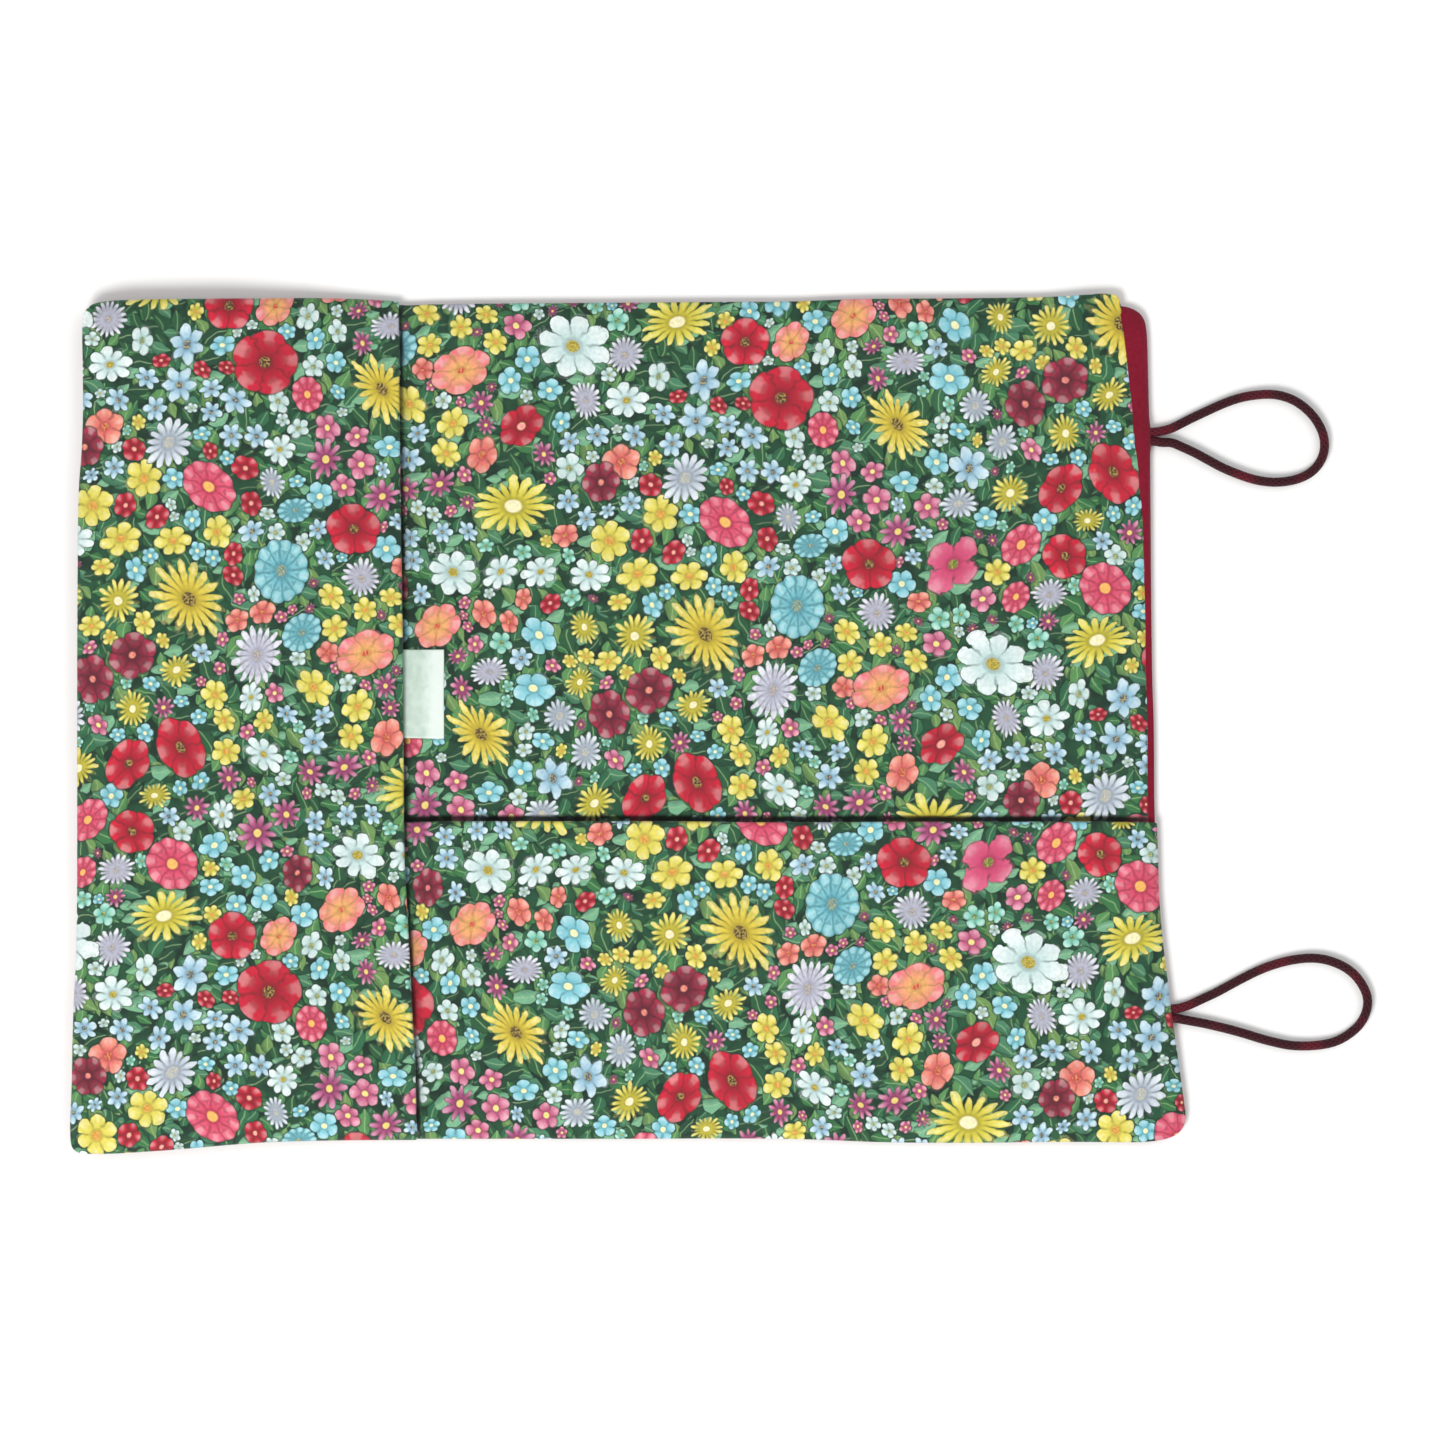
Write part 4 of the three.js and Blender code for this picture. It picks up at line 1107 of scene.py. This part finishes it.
def make_left_pocket():
    b, r, t, l = sides(COVER, CORNERS_C)
    lt, _, tt, _ = sides(LINING, CORNERS_L)
    b, t = b.until(0, float(lip_x(-104)) - 0.69), t.until(0, float(lip_x(104)) - 0.69)
    u = steps((b.length + t.length) / 2, 1.75, ends=(True, False), fine=[(b.length, 7, 0.7)])
    v = steps(l.length, 1.75, fine=[(l.length * 0.42, 9, 1.2)])
    L = l.at(v)
    B, T = b.at(u), t.at(u)
    my = B[-1, 1] + (T[-1, 1] - B[-1, 1]) * v
    M = np.stack([lip_x(my) - 0.69, my], 1)
    M[:, 0] += 0.12 * waves(M[:, 1], 0 * M[:, 1], 81, 50, 140) * np.sin(np.pi * v)
    B[-1], T[-1] = M[0], M[-1]

    def layer(dist, mid, edge, lifted, seed):
        Bb, Tt, Ll = shift_out(B, dist), shift_out(T, dist), shift_out(L, dist)
        Mm = M.copy()
        Mm[0], Mm[-1] = Bb[-1], Tt[-1]
        Bb[0], Tt[0] = Ll[0], Ll[-1]
        P = coons(Bb, Mm, Tt, Ll, u, v)
        x, y = P[..., 0], P[..., 1]
        far = np.full_like(Mm, 1e3)
        up = climb(y)
        z = surface(P, u, v, Bb, far, Tt, Ll, mid, edge, 6.5, seed)
        dm = Mm[None, :, 0] - x
        side = np.minimum(y - Bb[:, None, 1], Tt[:, None, 1] - y)
        dl = x - Ll[None, :, 0]
        z = z + up * smooth(side / 5) * smooth(dl / 5)
        z = z + lifted * np.exp(-(dm / 4.5) ** 2) * smooth(side / 18)
        return np.dstack([P, z + lift(x)])

    uneven = 1 + 0.22 * waves(M[:, 1], 0 * M[:, 1], 83, 40, 110)[None, :]
    front = layer(0.62, Z_FRONT, 2.02, 0.90 * uneven, 85)
    back = layer(0.05, Z_FACING, 1.96, 0.42 * uneven, 61)[::-1]
    # work with the mouth along the second axis, as the lower pocket does
    F, K = front.transpose(1, 0, 2), back.transpose(1, 0, 2)
    out = np.tile([1.0, 0.0, 0.0], (len(v), 1))
    G = folded(F, K, out, 0, 0)
    nf = F.shape[1]
    UV = np.zeros((*G.shape[:2], 2))
    UV[..., 1] = (G[..., 1] - 8.75) / 10
    s = np.concatenate([np.zeros((G.shape[0], 1)), np.cumsum(np.linalg.norm(np.diff(G[:, nf - 1:], axis=1), axis=2), axis=1)], 1)
    UV[:, :nf, 0] = (G[:, :nf, 0] + 128.75) / 10
    UV[:, nf:, 0] = UV[:, nf - 1:nf, 0] + s[:, 1:] / 10
    # turn the grid so that its outer face is the upper one
    return cloth("left_pocket", G[::-1], UV[::-1], CLOTH, PRINT, blooms=True)


lower_pocket = make_lower_pocket()
shade_creases(lower_pocket, both=False)
left_pocket = make_left_pocket()


# ------------------------------------------------------------------ tubes: elastic cords and sewing thread
def catmull(points, gap):
    """A smooth curve through points, resampled about every gap mm."""
    p = np.asarray(points, float)
    p = np.vstack([2 * p[0] - p[1], p, 2 * p[-1] - p[-2]])
    out = []
    for i in range(1, len(p) - 2):
        for t in np.linspace(0, 1, 12, endpoint=False):
            a, b, c, d = p[i - 1:i + 3]
            out.append(0.5 * ((2 * b) + (c - a) * t + (2 * a - 5 * b + 4 * c - d) * t * t + (3 * b - a - 3 * c + d) * t ** 3))
    out.append(p[-2])
    out = np.array(out)
    s = np.r_[0, np.cumsum(np.linalg.norm(np.diff(out, axis=0), axis=1))]
    n = max(3, int(round(s[-1] / gap)))
    q = np.linspace(0, s[-1], n + 1)
    return np.stack([np.interp(q, s, out[:, k]) for k in range(3)], 1)


def tube_parts(path, radius, around=12):
    """Points, faces and corner UVs of a closed tube. radius is a number, or one for each point."""
    p = np.asarray(path, float)
    n = len(p)
    rad = np.broadcast_to(radius, n)
    t = np.gradient(p, axis=0)
    t /= np.linalg.norm(t, axis=1, keepdims=True)
    a = np.cross(t[0], [0, 0, 1.0])
    if np.linalg.norm(a) < 1e-3:
        a = np.cross(t[0], [1.0, 0, 0])
    a /= np.linalg.norm(a)
    pts, s = [], np.r_[0, np.cumsum(np.linalg.norm(np.diff(p, axis=0), axis=1))] / 10
    ang = np.linspace(0, 2 * np.pi, around, endpoint=False)
    for i in range(n):
        a = a - t[i] * (a @ t[i])
        a /= np.linalg.norm(a)
        b = np.cross(t[i], a)
        pts.append(p[i] + rad[i] * (np.cos(ang)[:, None] * a + np.sin(ang)[:, None] * b))
    pts = np.concatenate(pts)
    faces, uv = [], []
    for i in range(n - 1):
        for k in range(around):
            k2 = (k + 1) % around
            faces.append((i * around + k, i * around + k2, (i + 1) * around + k2, (i + 1) * around + k))
            uv += [(k / around, s[i]), ((k + 1) / around, s[i]), ((k + 1) / around, s[i + 1]), (k / around, s[i + 1])]
    for i, d, end in ((0, -0.35, 0), (n - 1, 0.35, n - 1)):
        pts = np.vstack([pts, p[i] + t[i] * d * rad[i]])
        c = len(pts) - 1
        for k in range(around):
            k2 = (k + 1) % around
            f = (i * around + k2, i * around + k, c) if i == 0 else (i * around + k, i * around + k2, c)
            faces.append(f)
            uv += [(k / around, s[i]), ((k + 1) / around, s[i]), ((k + 0.5) / around, s[i])]
    return pts, faces, uv


def make_loop(which):
    ex, ey = EXITS[which]
    z = 1.32
    pts = [(ex - 1.9, ey + 1.10), (ex + 0.2, ey + 1.12), (ex + 1.6, ey + 1.2), (ex + 2.9, ey + 1.45)]
    pts += LOOPS[which] + [(ex + 2.9, ey - 1.45), (ex + 1.6, ey - 1.2), (ex + 0.2, ey - 1.12), (ex - 1.9, ey - 1.10)]
    path = catmull([(x, y, z) for x, y in pts], 0.9)
    p, f, uv = tube_parts(path, CORD_R, 14)
    ob = mesh_object(f"loop_{which}_elastic", p, f, ELASTIC, corner_uv=uv)
    length = np.linalg.norm(np.diff(path, axis=0), axis=1).sum()
    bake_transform(ob)
    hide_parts(f"loop_{which}", f"loop_tail_{which}")
    return length


LOOP_LENGTH = {k: make_loop(k) for k in LOOPS}


# ------------------------------------------------------------------ label: a ribbon folded in two
def make_label():
    x0, x1, y0, y1 = -60.0, -46.55, -3.9, 18.1
    r = 0.17

    def height(x):
        return 3.30 + 0.42 * smooth((x + 58.0) / 3.4) - 0.06 * smooth((x + 52) / 5)

    along = [(x, height(x)) for x in np.linspace(x0, x1, 30)]
    end = along[-1][1]
    along += [(x1 + r * math.sin(q), end - r + r * math.cos(q)) for q in np.linspace(0, np.pi, 7)[1:-1]]
    along += [(x, height(x) - 2 * r) for x in np.linspace(x1, x0, 30)]
    ys = np.linspace(y0, y1, 45)
    G = np.zeros((len(along), len(ys), 3))
    for i, (x, z) in enumerate(along):
        out = smooth((x + 56.5) / 5)
        G[i, :, 0] = x + 0.06 * waves(ys, 0 * ys + x, 91, 14, 30) * out
        G[i, :, 1] = ys + 0.05 * waves(0 * ys + x, ys, 95, 14, 30) * out
        G[i, :, 2] = z + 0.24 * out + 0.08 * (1 + waves(ys, 0 * ys + x * 0.5, 93, 16, 34)) * out + settle(x, ys)
    s = np.r_[0, np.cumsum([math.dist(along[i], along[i + 1]) for i in range(len(along) - 1)])]
    UV = np.dstack([np.tile((G[0, :, 1] / 10), (len(along), 1)), np.tile(s[:, None] / 10, (1, len(ys)))])
    ob = cloth("label_ribbon", G, UV, 0.20, SATIN)
    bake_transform(ob)
    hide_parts("label")
    return ob


label = make_label()


# ------------------------------------------------------------------ buttons and their thread
def make_button(which):
    x0, y0 = BUTTONS[which]
    prof = [(0.0, 0.92), (1.4, 0.91), (3.0, 0.86), (4.2, 0.72), (4.9, 0.46), (5.4, 0.20), (5.9, 0.06), (6.6, 0.0),
            (7.4, 0.03), (8.1, 0.16), (8.6, 0.42), (8.9, 0.80), (9.0, 1.20), (8.92, 1.55), (8.7, 1.86),
            (8.3, 2.08), (7.7, 2.18), (6.8, 2.2), (4.0, 2.16), (0.0, 2.12)]
    n = 96
    ang = np.linspace(0, 2 * np.pi, n, endpoint=False)
    pts, faces = [(0, 0, prof[0][1])], []
    for r, z in prof[1:-1]:
        pts += [(r * math.cos(a), r * math.sin(a), z) for a in ang]
    pts.append((0, 0, prof[-1][1]))
    last = len(pts) - 1
    for k in range(n):
        k2 = (k + 1) % n
        faces.append((0, 1 + k2, 1 + k))
        for j in range(len(prof) - 3):
            a = 1 + j * n
            faces.append((a + k, a + k2, a + n + k2, a + n + k))
        a = 1 + (len(prof) - 3) * n
        faces.append((a + k, a + k2, last))
    ob = mesh_object(f"button_{which}_turned", np.array(pts) + [x0, y0, 0], faces, BUTTON)
    cutters = []
    for a, b in ((1, 1), (1, -1), (-1, 1), (-1, -1)):
        c = [(x0 + a * 1.626 + rr * math.cos(q), y0 + b * 1.626 + rr * math.sin(q), z)
             for rr, z in ((1.25, 0.3), (0.98, 0.98), (0.9, 1.2), (0.9, 1.85), (1.1, 2.4)) for q in np.linspace(0, 2 * np.pi, 28, endpoint=False)]
        f = [tuple(range(27, -1, -1)), tuple(range(4 * 28, 5 * 28))]
        for j in range(4):
            f += [(j * 28 + k, j * 28 + (k + 1) % 28, (j + 1) * 28 + (k + 1) % 28, (j + 1) * 28 + k) for k in range(28)]
        cutters.append(mesh_object("cutter", c, f, BUTTON))
    for c in cutters:
        m = ob.modifiers.new("hole", "BOOLEAN")
        m.operation, m.object, m.solver = "DIFFERENCE", c, "EXACT"
    deps = bpy.context.evaluated_depsgraph_get()
    me = bpy.data.meshes.new_from_object(ob.evaluated_get(deps))
    ob.modifiers.clear()
    ob.data = me
    for c in cutters:
        bpy.data.objects.remove(c, do_unlink=True)
    me.polygons.foreach_set("use_smooth", [True] * len(me.polygons))
    me.set_sharp_from_angle(angle=math.radians(38))
    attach(ob, "left_leaf")
    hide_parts(f"button_{which}")

    # thread: three strands over each diagonal, down the holes, and a wound shank between button and cover
    rng = np.random.default_rng(7)
    P, F, UVs = [], [], []

    def strand(path, radius, around=7):
        p, f, uv = tube_parts(path, radius, around)
        base = sum(len(q) for q in P)
        P.append(p)
        F.extend([tuple(i + base for i in q) for q in f])
        UVs.extend(uv)

    h = 1.626
    for side, up in ((1, 0.0), (-1, 0.16)):
        for k in (-0.34, 0.0, 0.34):
            d = np.array([1, side]) / math.sqrt(2)
            w = np.array([-d[1], d[0]]) * (k + rng.uniform(-0.04, 0.04))
            run = []
            for q, z in ((-1.04, 2.0), (-1.03, 1.2), (-0.96, 0.86), (-0.7, 0.62 - up), (0.0, 0.50 - up), (0.7, 0.62 - up),
                         (0.96, 0.86), (1.03, 1.2), (1.04, 2.0)):
                c = d * q * h * math.sqrt(2) + w * (0.65 if abs(q) > 0.9 else 1.0)
                run.append((x0 + c[0], y0 + c[1], z))
            strand(catmull(run, 0.25), 0.17)
    top = 3.6 * float(smooth((LIFT_FROM - x0) / LIFT_RUN)) + 0.2
    wound = [(x0 + (1.55 + 0.12 * math.sin(q * 3.1)) * math.cos(q), y0 + (1.55 + 0.12 * math.sin(q * 2.3)) * math.sin(q),
              2.3 + (top - 2.3) * q / (2 * np.pi * 4)) for q in np.linspace(0, 2 * np.pi * 4, 150)]
    strand(wound, 0.19)
    for k in range(8):
        q = 2 * np.pi * k / 8 + 0.2
        strand([(x0 + 1.15 * math.cos(q), y0 + 1.15 * math.sin(q), z) for z in (1.6, 2.4, 3.0, top + 0.1)], 0.22)
    th = mesh_object(f"button_{which}_thread", np.concatenate(P), F, THREAD, corner_uv=UVs)
    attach(th, "left_leaf")
    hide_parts(f"button_thread_{which}")


for k in BUTTONS:
    make_button(k)


# ------------------------------------------------------------------ what moves with what
for ob in (cover, wadding, lining, lower_pocket):
    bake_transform(ob)
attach(left_pocket, "left_leaf")
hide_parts("outer_cover_left", "outer_cover_right", "seam_allowance_left", "seam_allowance_right")
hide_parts("wadding_left", "wadding_right")
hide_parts("lining_left", "lining_right")
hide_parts("lower_pocket_front_left", "lower_pocket_front_right",
            "lower_pocket_facing_left", "lower_pocket_facing_right")
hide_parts("left_pocket_front", "left_pocket_facing")
